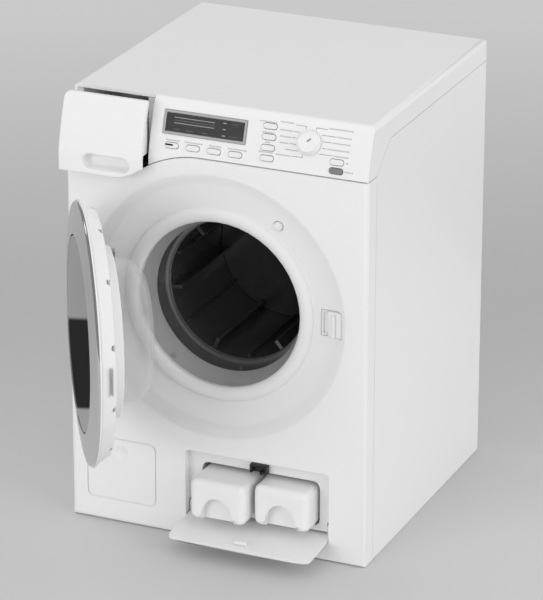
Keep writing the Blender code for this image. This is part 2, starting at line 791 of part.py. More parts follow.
def flap_ear_slots():
    """Clearance for the flap's ears in the recess floor, and the holes for its pins."""
    made = []
    deep = FLAP_Y + FLAP_EAR_RADIUS + OVER
    high = FLAP_Z + FLAP_EAR_RADIUS + RUN
    width = FLAP_EAR + FLAP_SIDE_GAP + RUN
    for name, x in (
        ("left_ear_slot", (RECESS_LEFT, RECESS_LEFT + width)),
        ("right_ear_slot", (RECESS_RIGHT - width, RECESS_RIGHT)),
    ):
        made.append(cut(block(name, x, (RECESS_Y - OVER / 2, deep), (RECESS_BOTTOM, high))))
    reach = FLAP_PIN_LENGTH + FIT
    place = Matrix.Translation((0, FLAP_Y, FLAP_Z)) @ along("x")
    radius = FLAP_PIN_RADIUS + FIT
    for name, start, end in (
        ("left_hole", RECESS_LEFT - reach, RECESS_LEFT + RUN),
        ("right_hole", RECESS_RIGHT - RUN, RECESS_RIGHT + reach),
    ):
        made.append(cut(rod(name, radius, start, end, place)))
    return made


def pump_outline():
    """The groove round the moulded pump cover, and its round dimple."""
    outer = rounded(centred(PUMP_X, PUMP_WIDTH), (PUMP_BOTTOM, PUMP_TOP), PUMP_CORNER)
    inner = rounded(
        centred(PUMP_X, PUMP_WIDTH - 2 * PUMP_GROOVE),
        (PUMP_BOTTOM + PUMP_GROOVE, PUMP_TOP - PUMP_GROOVE),
        PUMP_CORNER - PUMP_GROOVE,
    )
    groove = prism(
        "groove", [outer, inner], FRONT - OVER, FRONT + PUMP_GROOVE_DEPTH, along("y")
    )
    ball = PUMP_DIMPLE_RADIUS**2 / (2 * PUMP_DIMPLE_DEPTH) + PUMP_DIMPLE_DEPTH / 2
    tilt = math.asin(PUMP_DIMPLE_RADIUS / ball)
    cap = [
        (ball * math.sin(tilt * index / 4), ball * math.cos(tilt * index / 4) - ball)
        for index in range(5)
    ]
    deep = [(radius, FRONT + PUMP_DIMPLE_DEPTH + height) for radius, height in cap]
    profile = [*deep, (PUMP_DIMPLE_RADIUS, FRONT - OVER), (0, FRONT - OVER)]
    place = Matrix.Translation((PUMP_X, 0, PUMP_TOP - PUMP_DIMPLE_DROP)) @ along("y")
    dimple = turned("dimple", profile, place, steps=20, closed=False)
    return [cut(groove), cut(dimple)]


def switch_place():
    reach = (LIP_OUTER + DISH_RADIUS - DISH_SLOPE) / 2 - WALL / 2
    return (reach * math.cos(SWITCH_ANGLE), DOOR_Z + reach * math.sin(SWITCH_ANGLE))


def door_openings():
    """The hinge pocket, the door switch hole and the seat of the door catch."""
    pocket = block(
        "pocket",
        (HINGE_POCKET_LEFT, HINGE_POCKET_RIGHT),
        (FRONT - OVER, PANEL_BACK_Y + OVER),
        centred(DOOR_Z, HINGE_POCKET_HEIGHT),
    )
    x, z = switch_place()
    place = Matrix.Translation((x, 0, z)) @ along("y")
    hole = rod("hole", SWITCH_RADIUS + FIT, FLOOR_Y - OVER, PANEL_BACK_Y + OVER, place, 20)
    seat = block(
        "seat",
        (CATCH_LEFT - CATCH_HOLE - FIT, CATCH_RIGHT + FIT),
        (FRONT - OVER, PANEL_BACK_Y + OVER),
        centred(DOOR_Z, CATCH_HEIGHT + 2 * FIT),
    )
    return [cut(pocket), cut(hole), cut(seat)]


def door_catch():
    """The moulded insert that the door snaps on: a block with a nose, and a hollow at its left."""
    face = FRAME_REAR_Y + RUN + FIT
    body = block(
        "door_catch",
        (CATCH_LEFT - CATCH_HOLE, CATCH_RIGHT),
        (face, PANEL_BACK_Y),
        centred(DOOR_Z, CATCH_HEIGHT),
    )
    round_edges(body, CATCH_CORNER / 2, lambda a, b: a.y < face + FIT and b.y < face + FIT, 2)
    hollow = block(
        "hollow",
        (CATCH_LEFT - CATCH_HOLE + CATCH_CORNER, CATCH_LEFT),
        (face - OVER, FLOOR_Y + WALL / 2),
        centred(DOOR_Z, CATCH_HEIGHT - 2 * CATCH_CORNER),
    )
    lowered = block(
        "lowered",
        (CATCH_LEFT - CATCH_HOLE - OVER, CATCH_LEFT),
        (face - OVER, FLOOR_Y),
        centred(DOOR_Z, CATCH_HEIGHT + OVER),
    )
    nose_x = centred(latch_radius(), LATCH_WIDTH - 2 * RUN)
    nose = block(
        "nose",
        nose_x,
        (face - CATCH_NOSE, face + CATCH_CORNER),
        centred(DOOR_Z, LATCH_HEIGHT - 4 * RUN),
    )
    edge = face - CATCH_NOSE + FIT
    round_edges(nose, CATCH_CORNER / 2, lambda a, b: a.y < edge and b.y < edge, 2)
    return paint(shape(body, cut(lowered), cut(hollow), add(nose)), "white")


def latch_radius():
    """How far from the door's axis the latch slot lies, on the frame's slanted rim."""
    return FRAME_REAR_RADIUS + LATCH_WIDTH


def cabinet_shell():
    """Both sides and the back in one moulding, open at the front, top and bottom."""
    edge = SKIRT_Y + FIT
    outline = [
        (edge, 0),
        (BACK, 0),
        (BACK, COVER_BOTTOM - FIT),
        (edge + COVER_RAKE, COVER_BOTTOM - FIT),
        (edge, PANEL_TOP),
    ]
    shell = prism("cabinet_shell", [outline], -SIDE, SIDE, along("x"))
    round_edges(
        shell, EDGE, lambda a, b: a.y > BACK - FIT and b.y > BACK - FIT and a.x == b.x
    )
    inside = block(
        "inside",
        (-SIDE + WALL, SIDE - WALL),
        (edge - OVER, REAR_INNER_Y),
        (-OVER, HEIGHT),
    )
    half = SIDE - REAR_MARGIN
    rebate = block(
        "rebate",
        (-half, half),
        (BACK - REAR_REBATE, BACK + OVER),
        (REAR_BOTTOM, REAR_TOP),
    )
    through = block(
        "through",
        (-half + REAR_LEDGE, half - REAR_LEDGE),
        (REAR_INNER_Y - OVER, BACK + OVER),
        (REAR_BOTTOM + REAR_LEDGE, REAR_TOP - REAR_LEDGE),
    )
    steps = [cut(inside), cut(rebate), cut(through)]
    for index, (x, z) in enumerate(rear_screw_places()):
        place = Matrix.Translation((x, 0, z)) @ along("y")
        start = REAR_INNER_Y - OVER
        steps.append(cut(rod(f"screw_hole_{index}", SCREW_RADIUS + FIT, start, BACK, place, 8)))
    return paint(shape(shell, *steps), "white")


def rear_screw_places():
    x = SIDE - REAR_MARGIN - REAR_LEDGE / 2
    low = REAR_BOTTOM + REAR_LEDGE / 2
    high = REAR_TOP - REAR_LEDGE / 2
    return [(-x, low), (x, low), (-x, high), (x, high)]


def rear_cover():
    """The flat panel in the back, stepped into its opening, with grille and battery opening."""
    half = SIDE - REAR_MARGIN - FIT
    low, high = REAR_BOTTOM + FIT, REAR_TOP - FIT
    step_y = BACK - REAR_REBATE + FIT
    cover = block("rear_cover", (-half, half), (step_y, BACK), (low, high))
    inner = block(
        "inner",
        (-half + REAR_LEDGE, half - REAR_LEDGE),
        (REAR_INNER_Y, step_y + SCREW_HEAD),
        (low + REAR_LEDGE, high - REAR_LEDGE),
    )
    steps = [add(inner)]
    door = battery_opening()
    steps.append(cut(block("battery_hole", door[0], (REAR_INNER_Y - OVER, BACK + OVER), door[1])))
    x, z = battery_lid_edges()
    ledge = block(
        "battery_ledge",
        grown(x, FIT),
        (BACK - BACK_WALL / 2, BACK + OVER),
        grown(z, FIT),
    )
    steps.append(cut(ledge))
    screw_x, screw_z = battery_screw_place()
    place = Matrix.Translation((screw_x, 0, screw_z)) @ along("y")
    hole = rod("lid_hole", SCREW_RADIUS + FIT, REAR_INNER_Y - OVER, BACK, place, 8)
    steps.append(cut(hole))
    for index in range(GRILLE_SLOTS):
        z = SPEAKER_Z + (index - (GRILLE_SLOTS - 1) / 2) * GRILLE_PITCH
        rise = abs(z - SPEAKER_Z)
        chord = math.sqrt((SPEAKER_RADIUS - WALL) ** 2 - rise**2)
        outline = rounded(
            centred(SPEAKER_X, 2 * chord), centred(z, GRILLE_SLOT), GRILLE_SLOT / 2 - FIT, FEW_STEPS
        )
        steps.append(
            cut(
                prism(
                    f"grille_{index}", [outline], REAR_INNER_Y - OVER, BACK + OVER, along("y")
                )
            )
        )
    for index, (x, z) in enumerate(rear_screw_places()):
        place = Matrix.Translation((x, 0, z)) @ along("y")
        start = BACK - SCREW_HEAD - 2 * FIT
        head = rod(
            f"head_{index}", SCREW_HEAD_RADIUS + FIT, start, BACK + OVER, place, SMALL_STEPS
        )
        shank = rod(
            f"shank_{index}", SCREW_RADIUS + FIT, REAR_INNER_Y - OVER, BACK, place, 8
        )
        steps += [cut(head), cut(shank)]
    return paint(shape(cover, *steps), "white")


def battery_opening():
    """The clear opening of the battery case, as (x pair, z pair)."""
    return ((-CASE_HALF, CASE_HALF), (CELL_BOTTOM, CASE_TOP))


def battery_lid_edges():
    """The battery cover's edges, with a tab for its screw at the top, as (x pair, z pair)."""
    (left, right), (low, high) = battery_opening()
    rim = COVER_TAB / 4
    return ((left - rim, right + rim), (low - rim, high + COVER_TAB))


def screw(name, x, z):
    """A pan-head screw from the back, its head sunk in the cover."""
    place = Matrix.Translation((x, 0, z)) @ along("y")
    top = BACK - FIT / 2
    head = rod(name, SCREW_HEAD_RADIUS, top - SCREW_HEAD, top, place)
    shank = rod(
        "shank", SCREW_RADIUS, top - SCREW_HEAD - SCREW_LENGTH, top - SCREW_HEAD / 2, place, 8
    )
    slot = block(
        "slot",
        centred(x, 2 * SCREW_HEAD_RADIUS - SCREW_HEAD),
        (top - SCREW_HEAD / 2, top + OVER),
        centred(z, SCREW_HEAD * 0.75),
    )
    return paint(shape(head, add(shank), cut(slot)), "steel")


def battery_box():
    """The open tray behind the rear cover that holds the cells."""
    (left, right), (low, high) = battery_opening()
    front = CELL_Y - CELL_RADIUS - RUN
    case = block(
        "battery_box",
        grown((left, right), CASE_WALL),
        (front - CASE_WALL, REAR_INNER_Y - FIT),
        grown((low, high), CASE_WALL),
    )
    inside = block("inside", (left, right), (front, REAR_INNER_Y + OVER), (low, high))
    return paint(shape(case, cut(inside)), "charcoal")


def battery(index):
    z = CELL_BOTTOM + CELL_PITCH * (index + 0.5)
    place = Matrix.Translation((0, CELL_Y, z)) @ along("x")
    side = 1 if index % 2 else -1
    half = CELL_LENGTH / 2
    cell = rod(f"battery_{index + 1}", CELL_RADIUS, -half, half, place, 20)
    tip = sorted((side * (half - CELL_CAP), side * (half + CELL_CAP)))
    cap = rod("cap", CELL_CAP_RADIUS, tip[0], tip[1], place, SMALL_STEPS)
    return paint(shape(cell, add(cap)), "cell")


def battery_cover():
    (left, right), (low, high) = battery_opening()
    lid_x, lid_z = battery_lid_edges()
    step_y = BACK - BACK_WALL / 2 + FIT
    lid = block("battery_cover", lid_x, (step_y, BACK), lid_z)
    round_edges(lid, FIT, lambda a, b: a.y > BACK - FIT and b.y > BACK - FIT, 1)
    plug = block(
        "plug",
        grown((left, right), -FIT),
        (REAR_INNER_Y + FIT, step_y + FIT),
        grown((low, high), -FIT),
    )
    steps = [add(plug)]
    ribs = 5
    for index in range(ribs):
        z = low + COVER_TAB / 2 + index * GRILLE_SLOT * 1.5
        rib = block(
            f"grip_{index}",
            centred(0, COVER_TAB * 2),
            (BACK - PUMP_GROOVE_DEPTH, BACK + OVER),
            centred(z, GRILLE_SLOT / 2),
        )
        steps.append(cut(rib))
    x, z = battery_screw_place()
    place = Matrix.Translation((x, 0, z)) @ along("y")
    start = BACK - SCREW_HEAD - 2 * FIT
    steps.append(
        cut(rod("head", SCREW_HEAD_RADIUS + FIT, start, BACK + OVER, place, SMALL_STEPS))
    )
    steps.append(cut(rod("shank", SCREW_RADIUS + FIT, REAR_INNER_Y - OVER, BACK, place, 8)))
    return paint(shape(lid, *steps), "white")


def battery_screw_place():
    return (0.0, CASE_TOP + COVER_TAB / 2)


def base_plate():
    """The floor between the cabinet's walls, flat below and ribbed above."""
    half = SIDE - WALL - FIT
    y = (SKIRT_Y + FIT, REAR_INNER_Y - FIT)
    plate = block("base_plate", (-half, half), y, (0, BASE_THICK))
    steps = []
    ribs = 3
    for index in range(ribs):
        x = (index - (ribs - 1) / 2) * WIDTH / (ribs + 1)
        steps.append(
            add(
                block(
                    f"long_rib_{index}",
                    centred(x, WALL),
                    (y[0] + EDGE, y[1] - EDGE),
                    (BASE_THICK / 2, BASE_THICK + BASE_RIB),
                )
            )
        )
        place_y = (index - (ribs - 1) / 2) * DEPTH / (ribs + 1)
        steps.append(
            add(
                block(
                    f"cross_rib_{index}",
                    (-half + EDGE, half - EDGE),
                    centred(place_y, WALL),
                    (BASE_THICK / 2, BASE_THICK + BASE_RIB * 0.9),
                )
            )
        )
    return paint(shape(plate, *steps), "inner_white")


def top_cover():
    """The lid and the leaning control face in one moulding."""
    lower = SKIRT_Y + FIT
    outline = [
        *lean_profile(0, HEIGHT),
        (BACK, HEIGHT),
        (BACK, COVER_BOTTOM),
        (lower + COVER_RAKE, COVER_BOTTOM),
        (lower, PANEL_TOP + SEAM),
        (lower, SILL - OVER),
    ]
    cover = prism("top_cover", [outline], -SIDE, SIDE, along("x"))
    top = HEIGHT - FIT

    def upper_edge(a, b):
        if a.z > top and b.z > top:
            return True
        return a.y < SKIRT_Y - EDGE and b.y < SKIRT_Y - EDGE and abs(a.x) == abs(b.x) == SIDE

    outer = [edge_x for edge_x in (-SIDE, SIDE)]
    round_edges(
        cover,
        EDGE,
        lambda a, b: upper_edge(a, b) and (a.z > top and b.z > top or near(a.x, b.x, outer)),
    )
    inner = [
        *lean_profile(WALL, HEIGHT - WALL),
        (BACK - WALL, HEIGHT - WALL),
        (BACK - WALL, SILL - 2 * OVER),
        (FRONT + WALL, SILL - 2 * OVER),
    ]
    hollow = prism("hollow", [inner], FASCIA_LEFT + WALL, SIDE - WALL, along("x"))
    left_hollow = block(
        "left_hollow",
        (-SIDE + WALL, FASCIA_LEFT + WALL + OVER),
        (HOUSING_BACK_Y + FIT, BACK - WALL),
        (SILL - 2 * OVER, HEIGHT - WALL),
    )
    bay = block(
        "bay",
        (-SIDE - OVER, FASCIA_LEFT),
        (FRONT - OVER, HOUSING_Y),
        (SILL - 2 * OVER, HEIGHT + OVER),
    )
    bay_under = block(
        "bay_under",
        (-SIDE + WALL, FASCIA_LEFT),
        (HOUSING_Y - OVER, HOUSING_BACK_Y + FIT),
        (SILL - 2 * OVER, HEIGHT - WALL),
    )
    bottom = prism("bottom", [below_edge(SEAM)], FRONT - OVER, lower + OVER / 2, along("y"))
    rear_bottom = block(
        "rear_bottom",
        (-SIDE - OVER, SIDE + OVER),
        (SKIRT_Y - FIT, lower + FIT),
        (SILL - 2 * OVER, PANEL_TOP + SEAM),
    )
    steps = [cut(hollow), cut(left_hollow), cut(bay), cut(bay_under), cut(bottom)]
    steps += [cut(rear_bottom), *board_posts(), *control_openings()]
    return paint(shape(cover, *steps), "white")


def near(first, second, values):
    return any(abs(first - value) < FIT and abs(second - value) < FIT for value in values)


def board_posts():
    """Posts behind the control face that carry the circuit board."""
    made = []
    reach = BOARD_WIDTH / 2 - 2 * POST_RADIUS
    for index, side in enumerate((-1, 1)):
        place = on_face(BOARD_X + side * reach, BOARD_Z)
        end = -BOARD_SETBACK + FIT
        made.append(add(rod(f"post_{index}", POST_RADIUS, end, -WALL / 2, place)))
    return made


def stadium(width, height, grow=0.0):
    """A slot-shaped outline with round ends, centred on zero."""
    radius = height / 2 + grow - FIT
    return rounded(
        centred(0, width + 2 * grow), centred(0, height + 2 * grow), radius, FEW_STEPS
    )


def key_places():
    """Each key's name, its place on the control face and its finish."""
    places = []
    for index in range(4):
        x = ROW_KEY_X + index * ROW_KEY_PITCH
        places.append((f"display_key_{index + 1}", x, ROW_KEY_Z, "key_white"))
    for index in range(4):
        z = COLUMN_KEY_Z + (3 - index) * COLUMN_KEY_PITCH
        places.append((f"side_key_{index + 1}", COLUMN_KEY_X, z, "key_white"))
    places.append(("light_key", LOWER_KEY_X, LIGHT_KEY_Z, "key_white"))
    places.append(("power_key", LOWER_KEY_X, POWER_KEY_Z, "key_grey"))
    return places


def control_openings():
    """The display recess, the key slots and the dial's hole in the control face."""
    place = on_face(DISPLAY_X, DISPLAY_Z)
    recess = prism(
        "display_recess",
        [rounded(centred(0, DISPLAY_WIDTH + 2 * FIT), centred(0, DISPLAY_HEIGHT + 2 * FIT), FIT)],
        DISPLAY_PROUD - DISPLAY_THICK - FIT,
        OVER,
        place,
    )
    steps = [cut(recess)]
    for name, x, z, _ in key_places():
        outline = stadium(KEY_WIDTH, KEY_HEIGHT, FIT)
        steps.append(cut(prism(name + "_slot", [outline], -WALL - OVER, OVER, on_face(x, z))))
    hole = rod(
        "dial_hole",
        DIAL_SHAFT_RADIUS + FIT,
        -WALL - OVER,
        OVER,
        on_face(DIAL_X, DIAL_Z),
        SMALL_STEPS,
    )
    return [*steps, cut(hole)]


def display_frame():
    half = rounded(centred(0, DISPLAY_WIDTH), centred(0, DISPLAY_HEIGHT), FIT)
    inner = rounded(
        centred(0, DISPLAY_WIDTH - 2 * DISPLAY_BORDER),
        centred(0, DISPLAY_HEIGHT - 2 * DISPLAY_BORDER),
        FIT,
    )
    place = on_face(DISPLAY_X, DISPLAY_Z)
    low = DISPLAY_PROUD - DISPLAY_THICK
    return paint(prism("display_frame", [half, inner], low, DISPLAY_PROUD, place), "silver")


def display_window():
    size = 2 * (DISPLAY_BORDER + FIT)
    outline = rounded(centred(0, DISPLAY_WIDTH - size), centred(0, DISPLAY_HEIGHT - size), FIT)
    low = DISPLAY_PROUD - DISPLAY_THICK
    place = on_face(DISPLAY_X, DISPLAY_Z)
    return paint(prism("display_window", [outline], low, DISPLAY_PROUD / 2, place), "display")


def key(name, x, z, finish):
    """An oval cap that shows through its slot, with a wider flange and a stem behind."""
    flat = Matrix.Identity(4)
    outline = stadium(KEY_WIDTH, KEY_HEIGHT)
    low = -WALL - FIT - KEY_FLANGE_THICK
    cap = prism(name, [outline], low + KEY_FLANGE_THICK / 2, KEY_PROUD, flat)
    round_edges(cap, KEY_PROUD / 3, lambda a, b: min(a.z, b.z) > KEY_PROUD - FIT, 1)
    ring = prism(
        "ring",
        [stadium(KEY_WIDTH, KEY_HEIGHT, KEY_FLANGE)],
        low,
        low + KEY_FLANGE_THICK,
        flat,
    )
    tip = -BOARD_SETBACK + KEY_TRAVEL + FIT
    stem = block("stem", centred(0, KEY_STEM), centred(0, KEY_HEIGHT * 0.8), (tip, low + FIT))
    made = paint(shape(cap, add(ring), add(stem)), finish)
    made.matrix_world = on_face(x, z)
    return made


def program_dial():
    """The tapered knob, its pointer notch, and the shaft and collar behind the face."""
    flat = Matrix.Identity(4)
    face_low = FIT
    back = -WALL - FIT
    profile = [
        (0, face_low + DIAL_HEIGHT),
        (DIAL_TOP_RADIUS - DIAL_CHAMFER, face_low + DIAL_HEIGHT),
        (DIAL_TOP_RADIUS, face_low + DIAL_HEIGHT - DIAL_CHAMFER),
        (DIAL_RADIUS, face_low + DIAL_CHAMFER),
        (DIAL_RADIUS, face_low),
        (DIAL_SHAFT_RADIUS, face_low),
        (DIAL_SHAFT_RADIUS, back),
        (DIAL_SHAFT_RADIUS + DIAL_COLLAR, back),
        (DIAL_SHAFT_RADIUS + DIAL_COLLAR, back - DIAL_COLLAR),
        (DIAL_SHAFT_RADIUS, back - DIAL_COLLAR),
        (DIAL_SHAFT_RADIUS, -DIAL_SHAFT_LENGTH),
        (0, -DIAL_SHAFT_LENGTH),
    ]
    knob = turned("program_dial", profile, flat, steps=24, closed=False)
    mark = block(
        "mark",
        centred(0, DIAL_MARK),
        (DIAL_TOP_RADIUS * 0.15, DIAL_TOP_RADIUS * 0.65),
        (face_low + DIAL_HEIGHT - FIT, face_low + DIAL_HEIGHT + OVER),
    )
    mark.data.transform(Matrix.Rotation(math.radians(-40), 4, "Z"))
    made = paint(shape(knob, cut(mark)), "white")
    made.matrix_world = on_face(DIAL_X, DIAL_Z)
    return made


def circuit_board():
    place = on_face(BOARD_X, BOARD_Z)
    outline = rounded(centred(0, BOARD_WIDTH), centred(0, BOARD_HEIGHT), POST_RADIUS / 2)
    high = -BOARD_SETBACK
    board = prism("circuit_board", [outline], high - BOARD_THICK, high, place)
    chip = block(
        "chip",
        centred(BOARD_WIDTH / 6, BOARD_HEIGHT / 2),
        centred(0, BOARD_HEIGHT / 3),
        (high - BOARD_THICK - KEY_STEM / 2, high - BOARD_THICK / 2),
    )
    chip.data.transform(place)
    return paint(shape(board, add(chip)), "board")


def drawer_housing():
    """The sleeve that the drawer runs in, with the posts that frame its opening."""
    left, right = -SIDE + WALL + FIT, FASCIA_LEFT - FIT
    inner = housing_inside()
    top = HEIGHT - WALL - FIT
    plate = block(
        "drawer_housing",
        (left, right),
        (HOUSING_Y, HOUSING_BACK_Y),
        (SILL - HOUSING_SKIRT + SEAM, top),
    )
    end = HOUSING_Y + HOUSING_LENGTH
    sleeve = block(
        "sleeve",
        grown(inner, HOUSING_WALL),
        (HOUSING_Y + HOUSING_FLANGE / 2, end),
        (HOUSING_FLOOR - HOUSING_WALL, top - FIT),
    )
    tunnel = block(
        "tunnel",
        inner,
        (HOUSING_Y - OVER, end - HOUSING_WALL),
        (HOUSING_FLOOR, HEIGHT + OVER),
    )
    return paint(shape(plate, add(sleeve), cut(tunnel)), "inner_white")


def housing_inside():
    return (-SIDE + HOUSING_POST, FASCIA_LEFT - HOUSING_POST + FIT)


def drawer_front():
    """The drawer's hollow front with its finger grip, following the sweep below."""
    left, right = -SIDE, FASCIA_LEFT - FIT
    back = HOUSING_Y - FIT
    top = HEIGHT - DRAWER_TOP_GAP
    outline = [*lean_profile(0, top), (back, top), (back, SILL - OVER)]
    front = prism("drawer_front", [outline], left, right, along("x"))
    outer = [left, right]
    forward = back - 2 * DRAWER_WALL

    def visible_edge(a, b):
        if a.z > top - FIT and b.z > top - FIT and a.y < back - FIT and b.y < back - FIT:
            return True
        return near(a.x, b.x, outer) and a.y < forward + EDGE and b.y < forward + EDGE

    round_edges(front, DRAWER_EDGE, visible_edge, 2)
    bottom = prism("bottom", [below_edge(SEAM)], FRONT - OVER, back + OVER, along("y"))
    pocket_outline = [
        *lean_profile(DRAWER_WALL, top - DRAWER_WALL),
        (back + OVER, top - DRAWER_WALL),
        (back + OVER, SILL - OVER),
    ]
    pocket = prism("pocket", [pocket_outline], left + DRAWER_WALL, right - DRAWER_WALL, along("x"))
    floor = prism(
        "floor", [below_edge(SEAM + DRAWER_WALL)], FRONT - 2 * OVER, back + 2 * OVER, along("y")
    )
    pocket = shape(pocket, cut(floor))
    y = lean_at(GRIP_Z)[0]
    place = Matrix.Translation((GRIP_X, 0, GRIP_Z)) @ along("y")
    cup = prism(
        "cup",
        [stadium(GRIP_WIDTH, GRIP_HEIGHT, DRAWER_WALL)],
        y + DRAWER_WALL / 2,
        y + GRIP_DEPTH + DRAWER_WALL,
        place,
    )
    grip = prism(
        "grip", [stadium(GRIP_WIDTH, GRIP_HEIGHT)], y - OVER, y + GRIP_DEPTH, place
    )
    front = shape(front, cut(pocket), add(cup), cut(bottom), cut(grip))
    return paint(front, "white")


def drawer_tray():
    """The detergent tray behind the drawer front: open above, with two chambers."""
    inner = housing_inside()
    x = (inner[0] + RUN, inner[1] - RUN)
    y = (HOUSING_Y, HOUSING_Y + TRAY_LENGTH)
    z = (HOUSING_FLOOR + RUN, TRAY_TOP)
    tray = block("drawer_tray", x, y, z)
    middle = x[0] + (x[1] - x[0]) * 0.6
    steps = []
    for name, low, high in (
        ("main_chamber", x[0] + TRAY_WALL, middle - TRAY_WALL / 2),
        ("side_chamber", middle + TRAY_WALL / 2, x[1] - TRAY_WALL),
    ):
        chamber = block(
            name, (low, high), (y[0] + TRAY_WALL, y[1] - TRAY_WALL), (z[0] + TRAY_WALL, z[1] + OVER)
        )
        steps.append(cut(chamber))
    return paint(shape(tray, *steps), "white")


def gasket_ring():
    """The grey sleeve between the opening and the drum, with two moulded nubs inside."""
    front = GASKET_Y
    end = front + GASKET_DEPTH
    profile = [
        (GASKET_RADIUS, front),
        (GASKET_RADIUS + GASKET_FLANGE, front),
        (GASKET_RADIUS + GASKET_FLANGE, front + GASKET_FLANGE_THICK),
        (GASKET_RADIUS + GASKET_WALL, front + GASKET_FLANGE_THICK),
        (GASKET_REAR_RADIUS + GASKET_WALL, end),
        (GASKET_REAR_RADIUS, end),
    ]
    ring = turned("gasket_ring", profile, at_drum())
    steps = []
    for index in range(2):
        turn = GASKET_NUB_ANGLE + index * math.pi
        nub = block(
            f"nub_{index}",
            (GASKET_RADIUS - GASKET_NUB / 2, GASKET_RADIUS + GASKET_WALL),
            (front + GASKET_NUB, front + 2 * GASKET_NUB),
            centred(0, GASKET_NUB),
        )
        spin = Matrix.Rotation(-turn, 4, "Y")
        nub.data.transform(Matrix.Translation((0, 0, DOOR_Z)) @ spin)
        steps.append(add(nub))
    return paint(shape(ring, *steps), "grey_rubber")


def drum_tub():
    """The fixed tub round the drum, with the bearing boss on its back."""
    front = TUB_Y
    back = TUB_BACK_Y + TUB_WALL
    boss = BEARING_RADIUS + FIT + BOSS_WALL
    profile = [
        (TUB_RADIUS, front),
        (TUB_RADIUS + TUB_WALL, front),
        (TUB_RADIUS + TUB_WALL, back - TUB_WALL),
        (TUB_RADIUS, back),
        (boss, back),
        (boss, TUB_BACK_Y + BEARING_LENGTH - FIT),
        (BEARING_RADIUS + FIT, TUB_BACK_Y + BEARING_LENGTH - FIT),
        (BEARING_RADIUS + FIT, TUB_BACK_Y),
        (TUB_RADIUS - TUB_WALL, TUB_BACK_Y),
        (TUB_RADIUS, TUB_BACK_Y - TUB_WALL),
    ]
    return paint(turned("drum_tub", profile, at_drum(), steps=ROUND_STEPS), "inner_white")


def shaft_bearing():
    start = BEARING_Y
    end = start + BEARING_LENGTH
    profile = [
        (SHAFT_RADIUS + FIT, start),
        (BEARING_RADIUS, start),
        (BEARING_RADIUS, end),
        (SHAFT_RADIUS + FIT, end),
    ]
    return paint(turned("shaft_bearing", profile, at_drum(), steps=20), "steel")


def drum_shell():
    """The drum's barrel with its front flange, and ribs and paddles along the inside."""
    outer = DRUM_RADIUS + DRUM_WALL
    lip = DRUM_WALL / 2
    profile = [
        (DRUM_RADIUS, DRUM_Y + lip),
        (DRUM_RADIUS + lip, DRUM_Y),
        (DRUM_FLANGE_RADIUS, DRUM_Y),
        (DRUM_FLANGE_RADIUS, DRUM_Y + DRUM_WALL),
        (outer, DRUM_Y + DRUM_WALL),
        (outer, DRUM_BACK_Y),
        (DRUM_RADIUS, DRUM_BACK_Y),
    ]
    barrel = turned("drum_shell", profile, at_drum())
    steps = []
    for index in range(DRUM_RIBS):
        tall = index % 2 == 0
        proud = DRUM_PADDLE_PROUD if tall else DRUM_RIB_PROUD
        width = DRUM_PADDLE_WIDTH if tall else DRUM_RIB_WIDTH
        rib = block(
            f"rib_{index}",
            (DRUM_RADIUS - proud, DRUM_RADIUS + DRUM_WALL / 2),
            (DRUM_Y + lip + DRUM_WALL, DRUM_BACK_Y - DRUM_BACK_THICK - FIT - DRUM_WALL),
            centred(0, width),
        )
        turn = DRUM_RIB_PHASE + 2 * math.pi * index / DRUM_RIBS
        rib.data.transform(
            Matrix.Translation((0, 0, DOOR_Z)) @ Matrix.Rotation(-turn, 4, "Y")
        )
        steps.append(add(rib))
    return paint(shape(barrel, *steps), "charcoal")


def drum_back():
    """The drum's rear disc: a raised centre inside, and a hub that grips the shaft behind."""
    front = DRUM_BACK_Y - DRUM_BACK_THICK - FIT
    back = DRUM_BACK_Y - FIT
    hub_end = back + DRUM_HUB_LENGTH
    profile = [
        (0, front - DRUM_CONE_HEIGHT),
        (DRUM_CONE_RADIUS / 2, front - DRUM_CONE_HEIGHT),
        (DRUM_CONE_RADIUS, front),
        (DRUM_RADIUS - FIT, front),
        (DRUM_RADIUS - FIT, back),
        (DRUM_HUB_RADIUS, back),
        (DRUM_HUB_RADIUS, hub_end),
        (SHAFT_RADIUS + FIT, hub_end),
        (SHAFT_RADIUS + FIT, back - FIT),
        (0, back - FIT),
    ]
    return paint(turned("drum_back", profile, at_drum(), steps=ROUND_STEPS, closed=False), "charcoal")


def drum_shaft():
    start = DRUM_BACK_Y - FIT
    end = PLATE_Y + PLATE_THICK
    return paint(rod("drum_shaft", SHAFT_RADIUS, start, end, at_drum(), 16), "steel")


def tooth_outline(teeth):
    """A spur gear's outline, its straight tooth flanks given from the pitch circle in modules."""
    pitch = GEAR_MODULE * teeth / 2
    step = 2 * math.pi / teeth
    flank_shares = ((-1.25, 0.29), (0.9, 0.11))
    points = []
    for index in range(teeth):
        middle = index * step
        for rise_share, half_share in flank_shares:
            angle = middle - half_share * step
            radius = pitch + rise_share * GEAR_MODULE
            points.append((radius * math.cos(angle), radius * math.sin(angle)))
        for rise_share, half_share in reversed(flank_shares):
            angle = middle + half_share * step
            radius = pitch + rise_share * GEAR_MODULE
            points.append((radius * math.cos(angle), radius * math.sin(angle)))
    return points


